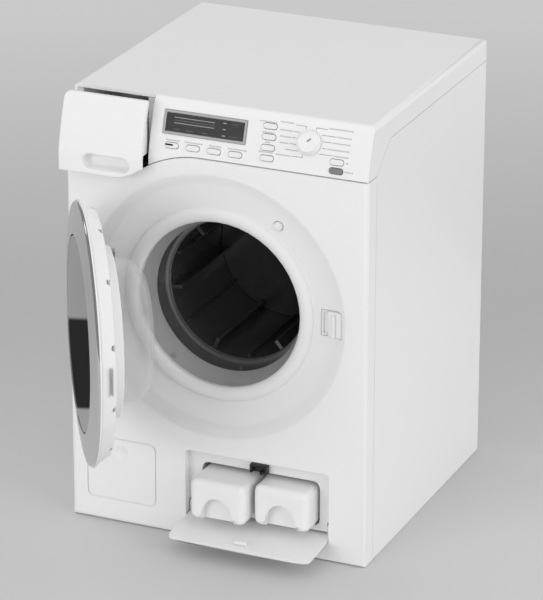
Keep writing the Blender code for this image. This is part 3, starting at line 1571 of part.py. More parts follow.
def drum_gear():
    """The large gear on the drum's shaft, its web thinned between rim and hub."""
    bore = circle((0, 0), SHAFT_RADIUS + FIT, 16)
    place = along("y")
    gear = prism("drum_gear", [tooth_outline(GEAR_TEETH), bore], GEAR_Y, GEAR_Y + GEAR_THICK, place)
    rim = GEAR_MODULE * (GEAR_TEETH / 2 - 3)
    web = (GEAR_THICK - GEAR_WEB) / 2
    steps = []
    for name, low, high in (
        ("front_web", GEAR_Y - OVER, GEAR_Y + web),
        ("rear_web", GEAR_Y + GEAR_THICK - web, GEAR_Y + GEAR_THICK + OVER),
    ):
        profile = [
            (rim, low),
            (rim, high),
            (DRUM_HUB_RADIUS, high),
            (DRUM_HUB_RADIUS, low),
        ]
        steps.append(cut(turned(name, profile, place, steps=24)))
    made = shape(gear, *steps)
    made.data.transform(Matrix.Translation((0, 0, DOOR_Z)))
    return paint(made, "gear")


def motor_pinion():
    place = Matrix.Translation((0, 0, PINION_Z)) @ along("y")
    wheel = prism("motor_pinion", [tooth_outline(PINION_TEETH)], GEAR_Y, GEAR_Y + GEAR_THICK, place)
    shaft = rod(
        "shaft",
        MOTOR_SHAFT_RADIUS,
        GEAR_Y + GEAR_THICK / 2,
        PLATE_Y + PLATE_THICK + GEAR_THICK,
        place,
    )
    return paint(shape(wheel, add(shaft)), "gear")


def gear_plate():
    """The plate behind the gears: it holds the motor and the shaft's end, on four posts."""
    outline = rounded(
        centred(0, PLATE_WIDTH),
        (DOOR_Z - PLATE_BOTTOM, DOOR_Z + PLATE_TOP),
        2 * PLATE_POST_RADIUS,
    )
    shaft = circle((0, DOOR_Z), SHAFT_RADIUS + FIT, 16)
    neck = circle((0, PINION_Z), MOTOR_NECK_RADIUS + FIT, 16)
    plate = prism(
        "gear_plate", [outline, shaft, neck], PLATE_Y, PLATE_Y + PLATE_THICK, along("y")
    )
    steps = []
    x = PLATE_WIDTH / 2 - 2 * PLATE_POST_RADIUS
    for index, (side, z) in enumerate(
        (
            (-1, DOOR_Z + PLATE_TOP - 2 * PLATE_POST_RADIUS),
            (1, DOOR_Z + PLATE_TOP - 2 * PLATE_POST_RADIUS),
            (-1, DOOR_Z - PLATE_BOTTOM / 2),
            (1, DOOR_Z - PLATE_BOTTOM / 2),
        )
    ):
        place = Matrix.Translation((side * x, 0, z)) @ along("y")
        start = TUB_BACK_Y + TUB_WALL + FIT
        post = rod(f"post_{index}", PLATE_POST_RADIUS, start, PLATE_Y + PLATE_THICK / 2, place)
        steps.append(add(post))
    return paint(shape(plate, *steps), "inner_white")


def drive_motor():
    """A small can motor with flattened sides and its front neck in the gear plate."""
    place = Matrix.Translation((0, 0, PINION_Z)) @ along("y")
    start = PLATE_Y + PLATE_THICK + FIT
    can = rod("drive_motor", MOTOR_RADIUS, start, start + MOTOR_LENGTH, place, 24)
    neck = rod("neck", MOTOR_NECK_RADIUS, PLATE_Y + FIT, start + FIT, place, 16)
    bore = rod(
        "bore", MOTOR_SHAFT_RADIUS + FIT, PLATE_Y, start + GEAR_THICK + FIT, place, SMALL_STEPS
    )
    steps = [add(neck), cut(bore)]
    for name, side in (("left_flat", -1), ("right_flat", 1)):
        x = sorted((side * MOTOR_FLAT, side * (MOTOR_RADIUS + OVER)))
        z = centred(PINION_Z, 2 * (MOTOR_RADIUS + OVER))
        steps.append(cut(block(name, x, (start - OVER, start + MOTOR_LENGTH + OVER), z)))
    return paint(shape(can, *steps), "steel")


def speaker():
    place = Matrix.Translation((SPEAKER_X, 0, SPEAKER_Z)) @ along("y")
    back = REAR_INNER_Y - FIT
    front = back - SPEAKER_DEPTH
    profile = [
        (0, front),
        (SPEAKER_RADIUS * 0.55, front),
        (SPEAKER_RADIUS * 0.55, front + SPEAKER_DEPTH * 0.45),
        (SPEAKER_RADIUS, back - WALL),
        (SPEAKER_RADIUS, back),
        (SPEAKER_RADIUS * 0.85, back),
        (0, back - WALL),
    ]
    return paint(turned("speaker", profile, place, steps=24, closed=False), "charcoal")


def door_ring():
    """The bright ring round the door's window."""
    inner = DOOR_RADIUS - RING_WIDTH
    face = DOOR_FACE_Y
    soft = RING_THICK / 4
    profile = [
        (inner, face + RING_THICK),
        (inner, face + 2 * soft),
        (inner + soft, face + soft),
        (DOOR_RADIUS - 3 * soft, face),
        (DOOR_RADIUS - soft, face + soft / 2),
        (DOOR_RADIUS, face + 2 * soft),
        (DOOR_RADIUS, face + RING_THICK),
    ]
    return turned("door_ring", profile, at_drum())


def door_glass():
    """The round outer pane, set in the ring."""
    radius = DOOR_RADIUS - RING_WIDTH - FIT
    face = DOOR_FACE_Y + RING_THICK / 4
    edge = GLASS_THICK / 4
    profile = [
        (0, face),
        (radius - edge, face),
        (radius, face + edge),
        (radius, face + GLASS_THICK),
        (0, face + GLASS_THICK),
    ]
    return turned("door_glass", profile, at_drum(), closed=False)


def door_frame():
    """The white shell behind the ring: a slanted rim, a flat back and the two hinge arms."""
    front = DOOR_FACE_Y + RING_THICK + FIT
    rear = FRAME_REAR_Y
    rim = DOOR_RADIUS - 2 * RUN
    inside = rim - 2 * WALL
    profile = [
        (inside, front),
        (rim, front),
        (rim, front + FIT),
        (FRAME_REAR_RADIUS + FIT, rear - FIT),
        (FRAME_REAR_RADIUS - FIT, rear),
        (COLLAR_RADIUS, rear),
        (COLLAR_RADIUS, rear - 2 * WALL),
        (COLLAR_RADIUS + WALL, rear - 2 * WALL),
        (COLLAR_RADIUS + WALL, rear - WALL),
        (FRAME_REAR_RADIUS - 2 * WALL, rear - WALL),
    ]
    frame = turned("door_frame", profile, at_drum())
    steps = [*door_screw_steps(rear), cut(latch_slot(rear)), *hinge_arms(rear)]
    return shape(frame, *steps)


def door_screw_steps(rear):
    """Round recesses on the slanted rim, each with its screw head, but none at the hinge arms."""
    holes = []
    heads = []
    radius = DOOR_SCREW_RADIUS + FIT
    reach = FRAME_REAR_RADIUS - FIT
    bottom = rear - DOOR_SCREW_DEPTH
    for index in range(DOOR_SCREWS):
        turn = 2 * math.pi * (index + 0.5) / DOOR_SCREWS
        if abs(turn - math.pi) < 2 * math.pi / DOOR_SCREWS:
            continue
        x, z = reach * math.cos(turn), DOOR_Z + reach * math.sin(turn)
        place = Matrix.Translation((x, 0, z)) @ along("y")
        top = bottom + DOOR_SCREW_RADIUS / 2
        holes.append(cut(rod(f"hole_{index}", radius, bottom, rear + OVER, place, 10)))
        heads.append(add(rod(f"head_{index}", DOOR_SCREW_RADIUS, bottom - FIT, top, place, 8)))
    return [*holes, *heads]


def latch_slot(rear):
    """The slot in the slanted rim that takes the nose of the door catch."""
    return block(
        "latch_slot",
        centred(latch_radius(), LATCH_WIDTH),
        (DOOR_FACE_Y + RING_THICK + 2 * WALL, rear + OVER),
        centred(DOOR_Z, LATCH_HEIGHT),
    )


def hinge_arms(rear):
    """Two flat arms from the rim of the frame through the pocket to the eyes on the hinge pin."""
    steps = []
    eye = (HINGE_X, HINGE_Y)
    right = HINGE_POCKET_RIGHT - RUN
    left = right - HINGE_ARM_WIDTH
    root = rear - 3 * WALL
    outline = [
        *arc(eye, HINGE_EYE_RADIUS, math.radians(70), math.radians(250), 8),
        (left, rear - WALL / 2),
        (left, root),
        (right, root),
        (right, HINGE_Y - HINGE_EYE_RADIUS / 2),
    ]
    bore = circle(eye, HINGE_PIN_RADIUS + FIT, SMALL_STEPS)
    for index, side in enumerate((-1, 1)):
        z = DOOR_Z + side * HINGE_SPREAD
        low, high = centred(z, HINGE_ARM_HEIGHT)
        steps.append(add(prism(f"arm_{index}", [outline, bore], low, high, along("z"))))
    return steps


def door_bowl():
    """The clear bowl that the door carries into the drum opening: a thin shell, open in front."""
    base = FRAME_REAR_Y + FIT
    flange = BOWL_WALL
    end = base + BOWL_LENGTH
    outer = []
    inner = []
    for index in range(4):
        turn = math.pi / 2 * index / 3
        reach = BOWL_END_RADIUS - BOWL_ROUND
        outer.append((reach + BOWL_ROUND * math.cos(turn), end - BOWL_ROUND * (1 - math.sin(turn))))
        small = BOWL_ROUND - BOWL_WALL
        inner.append((reach + small * math.cos(turn), end - BOWL_ROUND + small * math.sin(turn)))
    profile = [
        (BOWL_RADIUS + BOWL_FLANGE, base),
        (BOWL_RADIUS + BOWL_FLANGE, base + flange / 2),
        (BOWL_RADIUS + BOWL_FLANGE - flange / 2, base + flange),
        (BOWL_RADIUS, base + flange),
        *outer,
        (0, end),
        (0, end - BOWL_WALL),
        *reversed(inner),
        (BOWL_RADIUS - BOWL_WALL, base),
    ]
    return turned("door_bowl", profile, at_drum(), closed=True)


def door_assembly():
    """The door, drawn closed and then swung open about its pin."""
    place = (HINGE_X, HINGE_Y, DOOR_Z)
    empty = pivot("door_pivot", place, turn=Matrix.Rotation(-DOOR_ANGLE, 4, "Z"))
    for item, finish in (
        (door_frame(), "white"),
        (door_ring(), "chrome"),
        (door_glass(), "smoked"),
        (door_bowl(), "clear"),
    ):
        hang(paint(item, finish), empty, place)


def hinge_bracket():
    """The steel pin of the door hinge and the bracket that holds it behind the panel."""
    half = HINGE_POCKET_HEIGHT / 2 + WALL
    place = Matrix.Translation((HINGE_X, HINGE_Y, 0))
    reach = HINGE_SPREAD - HINGE_ARM_HEIGHT / 2
    low, high = DOOR_Z - half - WALL, DOOR_Z + half + WALL
    pin = rod("door_hinge_pin", HINGE_PIN_RADIUS, low, high, place)
    bar_y = (HINGE_Y + HINGE_EYE_RADIUS + RUN, HINGE_Y + HINGE_EYE_RADIUS + RUN + 2 * WALL)
    bracket = block(
        "door_hinge_bracket", centred(HINGE_X, 6 * WALL), bar_y, (DOOR_Z - half, DOOR_Z + half)
    )
    steps = []
    front = PANEL_BACK_Y + FIT
    for index, (z_low, z_high) in enumerate(
        (
            (DOOR_Z - half, DOOR_Z - half + WALL),
            (DOOR_Z + half - WALL, DOOR_Z + half),
            (DOOR_Z - reach + RUN, DOOR_Z - reach + RUN + WALL),
            (DOOR_Z + reach - RUN - WALL, DOOR_Z + reach - RUN),
        )
    ):
        start = front if index < 2 else HINGE_Y - HINGE_EYE_RADIUS
        steps.append(
            add(
                block(
                    f"shelf_{index}",
                    centred(HINGE_X, 6 * WALL),
                    (start, bar_y[0] + WALL),
                    (z_low, z_high),
                )
            )
        )
    hole = rod("hole", HINGE_PIN_RADIUS + FIT, low - OVER, high + OVER, place)
    paint(pin, "steel")
    return paint(shape(bracket, *steps, cut(hole)), "inner_white")


def door_switch():
    """The plunger on the dish floor that the closed door pushes in."""
    x, z = switch_place()
    place = Matrix.Translation((x, 0, z)) @ along("y")
    back = PANEL_BACK_Y + FIT
    tip = FLOOR_Y - SWITCH_PROUD
    profile = [
        (0, tip),
        (SWITCH_RADIUS / 2, tip),
        (SWITCH_RADIUS, tip + SWITCH_RADIUS / 3),
        (SWITCH_RADIUS, back),
        (SWITCH_RADIUS + RUN, back),
        (SWITCH_RADIUS + RUN, back + RUN),
        (SWITCH_RADIUS / 2, back + RUN),
        (SWITCH_RADIUS / 2, tip + SWITCH_STEM),
        (0, tip + SWITCH_STEM),
    ]
    button = turned("door_switch_button", profile, place, steps=16, closed=False)
    centre = (x, FLOOR_Y, z)
    hang(paint(button, "white"), pivot("switch_pivot", centre), centre)


def flap():
    """The lower flap: a plate with round top corners, ears with pins, and a snap nub."""
    left, right = RECESS_LEFT + FLAP_SIDE_GAP, RECESS_RIGHT - FLAP_SIDE_GAP
    low, high = FLAP_Z - FLAP_TAIL, RECESS_TOP - FLAP_SIDE_GAP
    inner_y = FRONT + FLAP_THICK
    outline = [
        (left, low),
        (right, low),
        *arc((right - FLAP_CORNER, high - FLAP_CORNER), FLAP_CORNER, 0, math.pi / 2, 4),
        *arc((left + FLAP_CORNER, high - FLAP_CORNER), FLAP_CORNER, math.pi / 2, math.pi, 4),
    ]
    plate = prism("flap", [outline], FRONT, inner_y, along("y"))
    round_edges(plate, FLAP_THICK * 0.4, lambda a, b: a.y < inner_y - FIT and b.y < inner_y - FIT, 2)
    nub = block(
        "nub",
        centred(BAY_X, FLAP_NUB_WIDTH),
        (inner_y - FIT, inner_y + FLAP_NUB_PROUD),
        centred(FLAP_NUB_Z, FLAP_NUB_HEIGHT),
    )
    tip = inner_y + FLAP_NUB_PROUD - FIT
    round_edges(nub, FLAP_NUB_HEIGHT / 4, lambda a, b: a.y > tip and b.y > tip, 2)
    steps = [add(nub)]
    ear_outline = [
        (inner_y - FIT, FLAP_Z - FLAP_EAR_RADIUS),
        *arc((FLAP_Y, FLAP_Z), FLAP_EAR_RADIUS, -math.pi / 2, math.pi / 2, 6),
        (inner_y - FIT, FLAP_Z + FLAP_EAR_RADIUS),
    ]
    place = Matrix.Translation((0, FLAP_Y, FLAP_Z)) @ along("x")
    for name, x0, x1, pin in (
        ("left", left, left + FLAP_EAR, (RECESS_LEFT - FLAP_PIN_LENGTH, left + FLAP_EAR / 2)),
        ("right", right - FLAP_EAR, right, (right - FLAP_EAR / 2, RECESS_RIGHT + FLAP_PIN_LENGTH)),
    ):
        steps.append(add(prism(name + "_ear", [ear_outline], x0, x1, along("x"))))
        steps.append(add(rod(name + "_pin", FLAP_PIN_RADIUS, pin[0], pin[1], place)))
    made = paint(shape(plate, *steps), "white")
    centre = (BAY_X, FLAP_Y, FLAP_Z)
    hang(made, pivot("flap_pivot", centre, turn=Matrix.Rotation(FLAP_OPEN, 4, "X")), centre)


def flap_catch():
    """The black snap catch above the containers, with jaws that hold the flap's nub."""
    back = RECESS_Y - FIT
    plate_front = back - FLAP_CATCH_PLATE
    front = back - FLAP_CATCH_REACH
    low, high = centred(FLAP_NUB_Z, FLAP_CATCH_HEIGHT)
    body = block(
        "flap_catch", centred(BAY_X, FLAP_CATCH_WIDTH), (plate_front, back), (low, high)
    )
    half = FLAP_CATCH_WIDTH / 2
    steps = []
    for name, x in (
        ("left_jaw", (BAY_X - half, BAY_X - half + FLAP_CATCH_JAW)),
        ("right_jaw", (BAY_X + half - FLAP_CATCH_JAW, BAY_X + half)),
    ):
        steps.append(add(block(name, x, (front, back - FIT), (low, high))))
    inner = BAY_X + half - FLAP_CATCH_JAW
    shelf_z = FLAP_NUB_Z + FLAP_NUB_HEIGHT / 2 + RUN
    shelf = block("shelf", (2 * BAY_X - inner - FIT, inner + FIT), (front, back - FIT), (shelf_z, high))
    prong_z = FLAP_NUB_Z - FLAP_NUB_HEIGHT / 2 - RUN
    prong = block(
        "prong",
        centred(BAY_X + FLAP_CATCH_JAW, FLAP_CATCH_JAW),
        (front + FIT, back),
        (low - FLAP_CATCH_PLATE, prong_z),
    )
    return paint(shape(body, *steps, add(shelf), add(prong)), "black")


def dosing_bay():
    """The sleeve behind the recess that the two containers slide in, with a middle wall."""
    inner = centred(BAY_X, 2 * BAY_HALF)
    floor = BAY_BOTTOM
    front = RECESS_BACK_Y + FIT
    end = BOX_HOME_Y + BOX_LENGTH + RUN
    sleeve = block(
        "dosing_bay",
        grown(inner, BAY_WALL),
        (front, end + BAY_WALL),
        (floor - BAY_WALL, BAY_TOP + BAY_WALL),
    )
    steps = []
    half = BOX_GAP / 2 - RUN
    for name, x in (
        ("left_room", (inner[0], BAY_X - half)),
        ("right_room", (BAY_X + half, inner[1])),
    ):
        steps.append(cut(block(name, x, (BOX_HOME_Y, end), (floor, BAY_TOP))))
    mouth = block("mouth", inner, (front - OVER, BOX_HOME_Y + RUN), (floor, BAY_TOP))
    return paint(shape(sleeve, *steps, cut(mouth)), "inner_white")


def container(name, x, out):
    """A dosing container: a rounded box, open behind, with a finger scoop in its front."""
    front, end = BOX_HOME_Y, BOX_HOME_Y + BOX_LENGTH
    low, high = BOX_BOTTOM, BOX_BOTTOM + BOX_HEIGHT
    body = block(name, x, (front, end), (low, high))
    round_edges(body, BOX_ROUND, lambda a, b: min(a.y, b.y) < front + FIT)
    inside = block(
        "inside",
        grown(x, -BOX_WALL),
        (front + SCOOP_DEPTH + BOX_WALL + BOX_WALL, end + OVER),
        (low + BOX_WALL, high - BOX_WALL),
    )
    middle = (x[0] + x[1]) / 2
    radius = SCOOP_WIDTH / 2
    scoop_outline = [
        (middle - radius, low - OVER),
        (middle + radius, low - OVER),
        *arc((middle, low + SCOOP_HEIGHT - radius), radius, 0, math.pi, 8),
    ]
    scoop = prism("scoop", [scoop_outline], front - OVER, front + SCOOP_DEPTH, along("y"))
    made = paint(shape(body, cut(inside), cut(scoop)), "white")
    centre = (middle, front, (low + high) / 2)
    empty = pivot(name + "_pivot", centre, shift=(0, -out, 0))
    hang(made, empty, centre)


def drum_assembly():
    centre = (0, DRUM_BACK_Y, DOOR_Z)
    empty = pivot("drum_pivot", centre)
    for item in (drum_shell(), drum_back(), drum_shaft(), drum_gear()):
        hang(item, empty, centre)
    pinion_centre = (0, GEAR_Y, PINION_Z)
    hang(motor_pinion(), pivot("pinion_pivot", pinion_centre), pinion_centre)


def drawer_assembly():
    centre = ((FASCIA_LEFT - SIDE) / 2, HOUSING_Y, GRIP_Z)
    empty = pivot("drawer_pivot", centre, shift=(0, -DRAWER_OUT, 0))
    for item in (drawer_front(), drawer_tray()):
        hang(item, empty, centre)


def build():
    global PARTS
    clear_scene()
    PARTS = bpy.data.collections.new("toy_washing_machine")
    bpy.context.scene.collection.children.link(PARTS)
    cabinet_shell()
    base_plate()
    rear_cover()
    for index, (x, z) in enumerate(rear_screw_places()):
        screw(f"rear_screw_{index + 1}", x, z)
    front_panel()
    top_cover()
    display_frame()
    display_window()
    circuit_board()
    for name, x, z, finish in key_places():
        key(name, x, z, finish)
    program_dial()
    drawer_housing()
    drawer_assembly()
    gasket_ring()
    drum_tub()
    shaft_bearing()
    drum_assembly()
    gear_plate()
    drive_motor()
    speaker()
    door_catch()
    door_switch()
    hinge_bracket()
    door_assembly()
    flap_catch()
    flap()
    dosing_bay()
    left = BAY_X - BOX_GAP / 2 - BOX_WIDTH
    right = BAY_X + BOX_GAP / 2
    container("container_left", (left, left + BOX_WIDTH), LEFT_BOX_OUT)
    container("container_right", (right, right + BOX_WIDTH), RIGHT_BOX_OUT)
    battery_box()
    for index in range(CELLS):
        battery(index)
    battery_cover()
    screw("battery_cover_screw", *battery_screw_place())
    bpy.context.view_layer.update()


build()
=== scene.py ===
"""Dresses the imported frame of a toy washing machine: its shells, door, drum and controls.

Laid out as a Blender add-on and run as a script. Metres, +Z up, the front of the machine faces -Y.
"""

import json
import math

import bmesh
import bpy
from bpy.props import FloatProperty, FloatVectorProperty, IntProperty, PointerProperty
from mathutils import Matrix, Vector


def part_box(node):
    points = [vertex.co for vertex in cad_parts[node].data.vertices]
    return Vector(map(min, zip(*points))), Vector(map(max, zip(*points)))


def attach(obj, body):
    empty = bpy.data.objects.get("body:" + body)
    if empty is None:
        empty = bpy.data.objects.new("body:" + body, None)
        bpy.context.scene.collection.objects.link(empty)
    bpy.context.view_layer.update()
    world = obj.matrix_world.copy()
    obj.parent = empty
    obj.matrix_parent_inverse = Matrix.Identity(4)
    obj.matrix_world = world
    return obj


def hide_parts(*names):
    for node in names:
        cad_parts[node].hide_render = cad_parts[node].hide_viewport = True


bl_info = {
    "name": "Toy washing machine",
    "version": (1, 0, 0),
    "blender": (4, 5, 0),
    "location": "View3D > Sidebar > Washer",
    "description": "Shells, door, drum and controls of a toy washing machine on its fixed frame",
    "category": "Object",
}

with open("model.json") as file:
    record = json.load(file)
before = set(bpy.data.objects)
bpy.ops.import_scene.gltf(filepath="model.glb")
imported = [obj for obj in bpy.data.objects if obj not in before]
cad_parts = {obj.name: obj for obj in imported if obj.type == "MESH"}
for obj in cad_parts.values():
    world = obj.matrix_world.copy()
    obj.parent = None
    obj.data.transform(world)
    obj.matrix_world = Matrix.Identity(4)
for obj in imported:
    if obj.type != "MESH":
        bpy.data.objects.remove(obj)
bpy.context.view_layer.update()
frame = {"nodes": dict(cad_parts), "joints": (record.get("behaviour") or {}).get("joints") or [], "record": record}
NODES = frame["nodes"]
JOINTS = {joint["name"]: joint for joint in frame["joints"]}

# The door's pin, the angle at which it stands open, and the height of the drum's axis
DOOR_PIN = Vector(JOINTS["door_hinge"]["pos_m"])
DOOR_OPEN = math.radians(JOINTS["door_hinge"]["range_deg"][1])
AXIS_Z = DOOR_PIN.z

# The front face, and the control face that leans back above it on a large radius
FRONT_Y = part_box("front_panel")[0].y
LEAN_Z = 0.2305
LEAN_RADIUS = 0.180
LEAN_START = math.radians(11.8)

# The dial's centre on that face
DIAL_X, _, DIAL_Z = JOINTS["dial_turn"]["pos_m"]

# Depths along the drum's axis: three taken from the frame, then the face of the closed door's
# ring and the rear of its shell
GASKET_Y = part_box("gasket_ring")[0].y
DRUM_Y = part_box("drum_shell")[0].y
DRUM_BACK_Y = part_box("drum_shell")[1].y
RING_FACE_Y = -0.1000
FRAME_REAR_Y = -0.0895


def colour_prop(name, text, value):
    """A colour that the user can change, as scene-linear red, green and blue."""
    return FloatVectorProperty(
        name=name, description=text, default=value, subtype="COLOR", size=3, min=0, max=1
    )


def length_prop(name, text, value):
    """A length in metres that the user can change."""
    return FloatProperty(
        name=name, description=text, default=value, min=0, unit="LENGTH", subtype="DISTANCE"
    )


class WasherSizes(bpy.types.PropertyGroup):
    """Sizes of the pieces that are drawn round the frame."""

    ring_soft: length_prop("Ring edge", "Rounding of the bright ring's edges", 0.0004)
    ring_proud: length_prop("Ring rise", "How far the ring rises towards the pane", 0.0024)
    pane_dome: length_prop("Pane dome", "Rise of the outer pane's middle", 0.00015)
    bowl_wall: length_prop("Bowl wall", "Wall of the clear bowl", 0.0016)
    bowl_bend: length_prop("Bowl bend", "Rounding of the clear bowl's bottom", 0.0150)
    gasket_lip: length_prop("Gasket lip", "Radius inside the gasket's lip", 0.0455)
    rib_edge: length_prop("Rib edge", "Rounding along the drum's ribs", 0.0004)
    key_edge: length_prop("Key edge", "Rounding of the key caps", 0.00022)
    dial_edge: length_prop("Dial edge", "Rounding of the dial's rim", 0.0005)
    print_rise: length_prop("Print rise", "How far the printed lines stand up", 0.00004)
    line_width: length_prop("Line width", "Width of a printed line", 0.00028)
    edge_glint: length_prop("Edge glint", "Reach of the softened light along plain edges", 0.00035)
    ribs: IntProperty(name="Ribs", description="Ribs round the drum", default=12, min=2, max=36)
    turns: IntProperty(name="Turns", description="Facets round a large ring", default=144, min=24)


class WasherColours(bpy.types.PropertyGroup):
    """Colours of the finishes."""

    white: colour_prop("White", "Glossy outer mouldings", (0.86, 0.86, 0.858))
    inner_white: colour_prop("Inner white", "Matte inner mouldings", (0.74, 0.74, 0.73))
    housing: colour_prop("Housing", "Inside of the drawer's opening", (0.90, 0.90, 0.90))
    key_white: colour_prop("Key white", "Press keys", (0.83, 0.83, 0.825))
    key_grey: colour_prop("Key grey", "Power key", (0.22, 0.22, 0.22))
    chrome: colour_prop("Chrome", "Bright door ring", (0.72, 0.72, 0.73))
    silver: colour_prop("Silver", "Display surround", (0.44, 0.44, 0.44))
    smoked: colour_prop("Smoked", "Outer door pane", (0.012, 0.012, 0.013))
    clear: colour_prop("Clear", "Clear bowl", (0.975, 0.98, 0.98))
    display: colour_prop("Display", "Dark display pane", (0.034, 0.034, 0.036))
    rubber: colour_prop("Rubber", "Grey gasket", (0.40, 0.40, 0.40))
    drum: colour_prop("Drum", "Dark drum", (0.055, 0.055, 0.056))
    black: colour_prop("Black", "Snap catch", (0.016, 0.016, 0.016))
    steel: colour_prop("Steel", "Pins, shafts and screws", (0.56, 0.56, 0.57))
    gear: colour_prop("Gear", "Natural plastic gears", (0.70, 0.69, 0.64))
    board: colour_prop("Board", "Circuit board", (0.03, 0.16, 0.07))
    cell: colour_prop("Cell", "Sleeves of the cells", (0.09, 0.09, 0.10))
    ink: colour_prop("Ink", "Printed lines on the control face", (0.23, 0.23, 0.24))
    floor: colour_prop("Floor", "Floor and backdrop", (0.49, 0.49, 0.49))


def sizes():
    """The sizes set for this scene."""
    return bpy.context.scene.washer_sizes


def colours():
    """The colours set for this scene."""
    return bpy.context.scene.washer_colours


# Materials


class Value:
    """A number or colour that a node puts out, with the arithmetic that adds Math nodes."""

    def __init__(self, finish, socket):
        self.finish = finish
        self.socket = socket

    def maths(self, operation, *values, clamp=False):
        settings = {"operation": operation, "use_clamp": clamp}
        return self.finish.node("ShaderNodeMath", settings, dict(enumerate(values)))

    def __add__(self, other):
        return self.maths("ADD", self, other)

    def __radd__(self, other):
        return self.maths("ADD", other, self)

    def __sub__(self, other):
        return self.maths("SUBTRACT", self, other)

    def __rsub__(self, other):
        return self.maths("SUBTRACT", other, self)

    def __mul__(self, other):
        return self.maths("MULTIPLY", self, other)

    def __rmul__(self, other):
        return self.maths("MULTIPLY", other, self)

    def power(self, other):
        return self.maths("POWER", self, other)

    def above(self, other):
        return self.maths("GREATER_THAN", self, other)

    def below(self, other):
        return self.maths("LESS_THAN", self, other)

    def clamped(self):
        return self.maths("ADD", self, 0.0, clamp=True)

    def eased(self, low, high):
        """A soft step from 0 at low to 1 at high."""
        settings = {"interpolation_type": "SMOOTHSTEP"}
        values = {"Value": self, "From Min": low, "From Max": high, "To Min": 0.0, "To Max": 1.0}
        return self.finish.node("ShaderNodeMapRange", settings, values)


class Finish:
    """A material on the Principled shader, and the one method that adds nodes to it."""

    def __init__(self, name, **constants):
        self.material = bpy.data.materials.new(name)
        self.material.use_nodes = True
        self.tree = self.material.node_tree
        self.shader = self.tree.nodes["Principled BSDF"]
        self.place = self.node("ShaderNodeTexCoord", output="Object")
        for label, value in constants.items():
            self.shader.inputs[label.replace("_", " ")].default_value = value

    def node(self, kind, settings=None, values=None, output=0):
        """A node of a type: its settings first, then the values or links of its sockets."""
        made = self.tree.nodes.new(kind)
        for label, value in (settings or {}).items():
            setattr(made, label, value)
        for label, value in (values or {}).items():
            self.feed(made.inputs[label], value)
        return Value(self, made.outputs[output])

    def feed(self, socket, value):
        if isinstance(value, Value):
            self.tree.links.new(value.socket, socket)
        else:
            socket.default_value = value

    def noise(self, scale, detail=2.0, roughness=0.5, place=None):
        place = place or self.place
        values = {"Vector": place, "Scale": scale, "Detail": detail, "Roughness": roughness}
        return self.node("ShaderNodeTexNoise", None, values)

    def stretched(self, scales, turn=(0.0, 0.0, 0.0)):
        """The piece's own coordinates, stretched and turned for smears and brush marks."""
        values = {"Vector": self.place, "Scale": scales, "Rotation": turn}
        return self.node("ShaderNodeMapping", None, values)

    def axis(self, index):
        return self.node("ShaderNodeSeparateXYZ", None, {"Vector": self.place}, output=index)

    def mix(self, low, high, share):
        """A colour between two others, by a share from 0 to 1."""
        settings = {"data_type": "RGBA", "blend_type": "MIX", "clamp_factor": True}
        ends = [end if isinstance(end, Value) else (*end, 1) for end in (low, high)]
        values = {0: share, 6: ends[0], 7: ends[1]}
        return self.node("ShaderNodeMix", settings, values, output=2)

    def relief(self, height, depth, edge=0.0):
        """A bump of a real depth in metres, over edges that catch the light as if rounded."""
        values = {"Height": height, "Distance": depth, "Strength": 1.0}
        if edge:
            reach = {"Radius": edge}
            values["Normal"] = self.node("ShaderNodeBevel", {"samples": 4}, reach)
        return self.node("ShaderNodeBump", None, values)

    def give(self, **values):
        for label, value in values.items():
            self.feed(self.shader.inputs[label.replace("_", " ")], value)
        return self.material


def shade(colour, share):
    """A colour made lighter or darker, kept under white."""
    return tuple(min(part * share, 0.99) for part in colour)


def moulded(name, colour, roughness, grain, coat=0.0, variety=0.03):
    """Injection-moulded plastic: flow mottling, a fine spark-eroded grain and faint rub marks."""
    made = Finish(name, Coat_Roughness=0.12, IOR=1.5)
    flow = made.noise(9.0, 3.0, 0.55)
    cloud = made.noise(70.0, 2.0)
    texture = made.noise(grain, 3.0, 0.6)
    rubbed = made.noise(26.0, 4.0, 0.6, made.stretched((1.0, 1.0, 7.0), (0.3, 0.5, 0.2)))
    rubs = rubbed.eased(0.62, 0.78)
    share = flow * 0.65 + cloud * 0.35
    tone = made.mix(shade(colour, 1 - variety), shade(colour, 1 + variety), share)
    worn = made.mix(tone, shade(colour, 1 - 2 * variety), rubs * 0.35)
    gloss = roughness + (texture - 0.5) * 0.10 + (cloud - 0.5) * 0.05 + rubs * 0.07
    bump = made.relief(texture + rubs * 0.6, 0.000004, sizes().edge_glint)
    return made.give(Base_Color=worn, Roughness=gloss, Coat_Weight=coat, Normal=bump)


# The drawer's well in its housing, in metres: its foot and top, the top of the painted shade in its lowest part,
# and how far back that painted shade reaches
WELL_LEVELS = (0.2172, 0.2575)
PAINTED_SHADE_TOP = 0.2318
PAINTED_SHADE_BACK_Y = -0.060


def housing_painted_shade(name, rim, inside):
    """The drawer's housing: a rim round the drawer's well, its lowest front part darkened almost to black as
    painted shade.
    """
    made = Finish(name, IOR=1.5)
    height = made.axis(2)
    texture = made.noise(900.0, 3.0, 0.6)
    well = height.above(WELL_LEVELS[0]) * height.below(WELL_LEVELS[1])
    mouth = made.axis(1).below(PAINTED_SHADE_BACK_Y)
    # Painted shade: the lowest, front part of the well darkened almost to black.
    painted_pit_shade = made.mix(inside, shade(inside, 0.03), height.below(PAINTED_SHADE_TOP) * mouth)
    tone = made.mix(shade(rim, 0.96), painted_pit_shade, well)
    gloss = 0.45 + texture * 0.12
    return made.give(Base_Color=tone, Roughness=gloss, Normal=made.relief(texture, 0.000004))


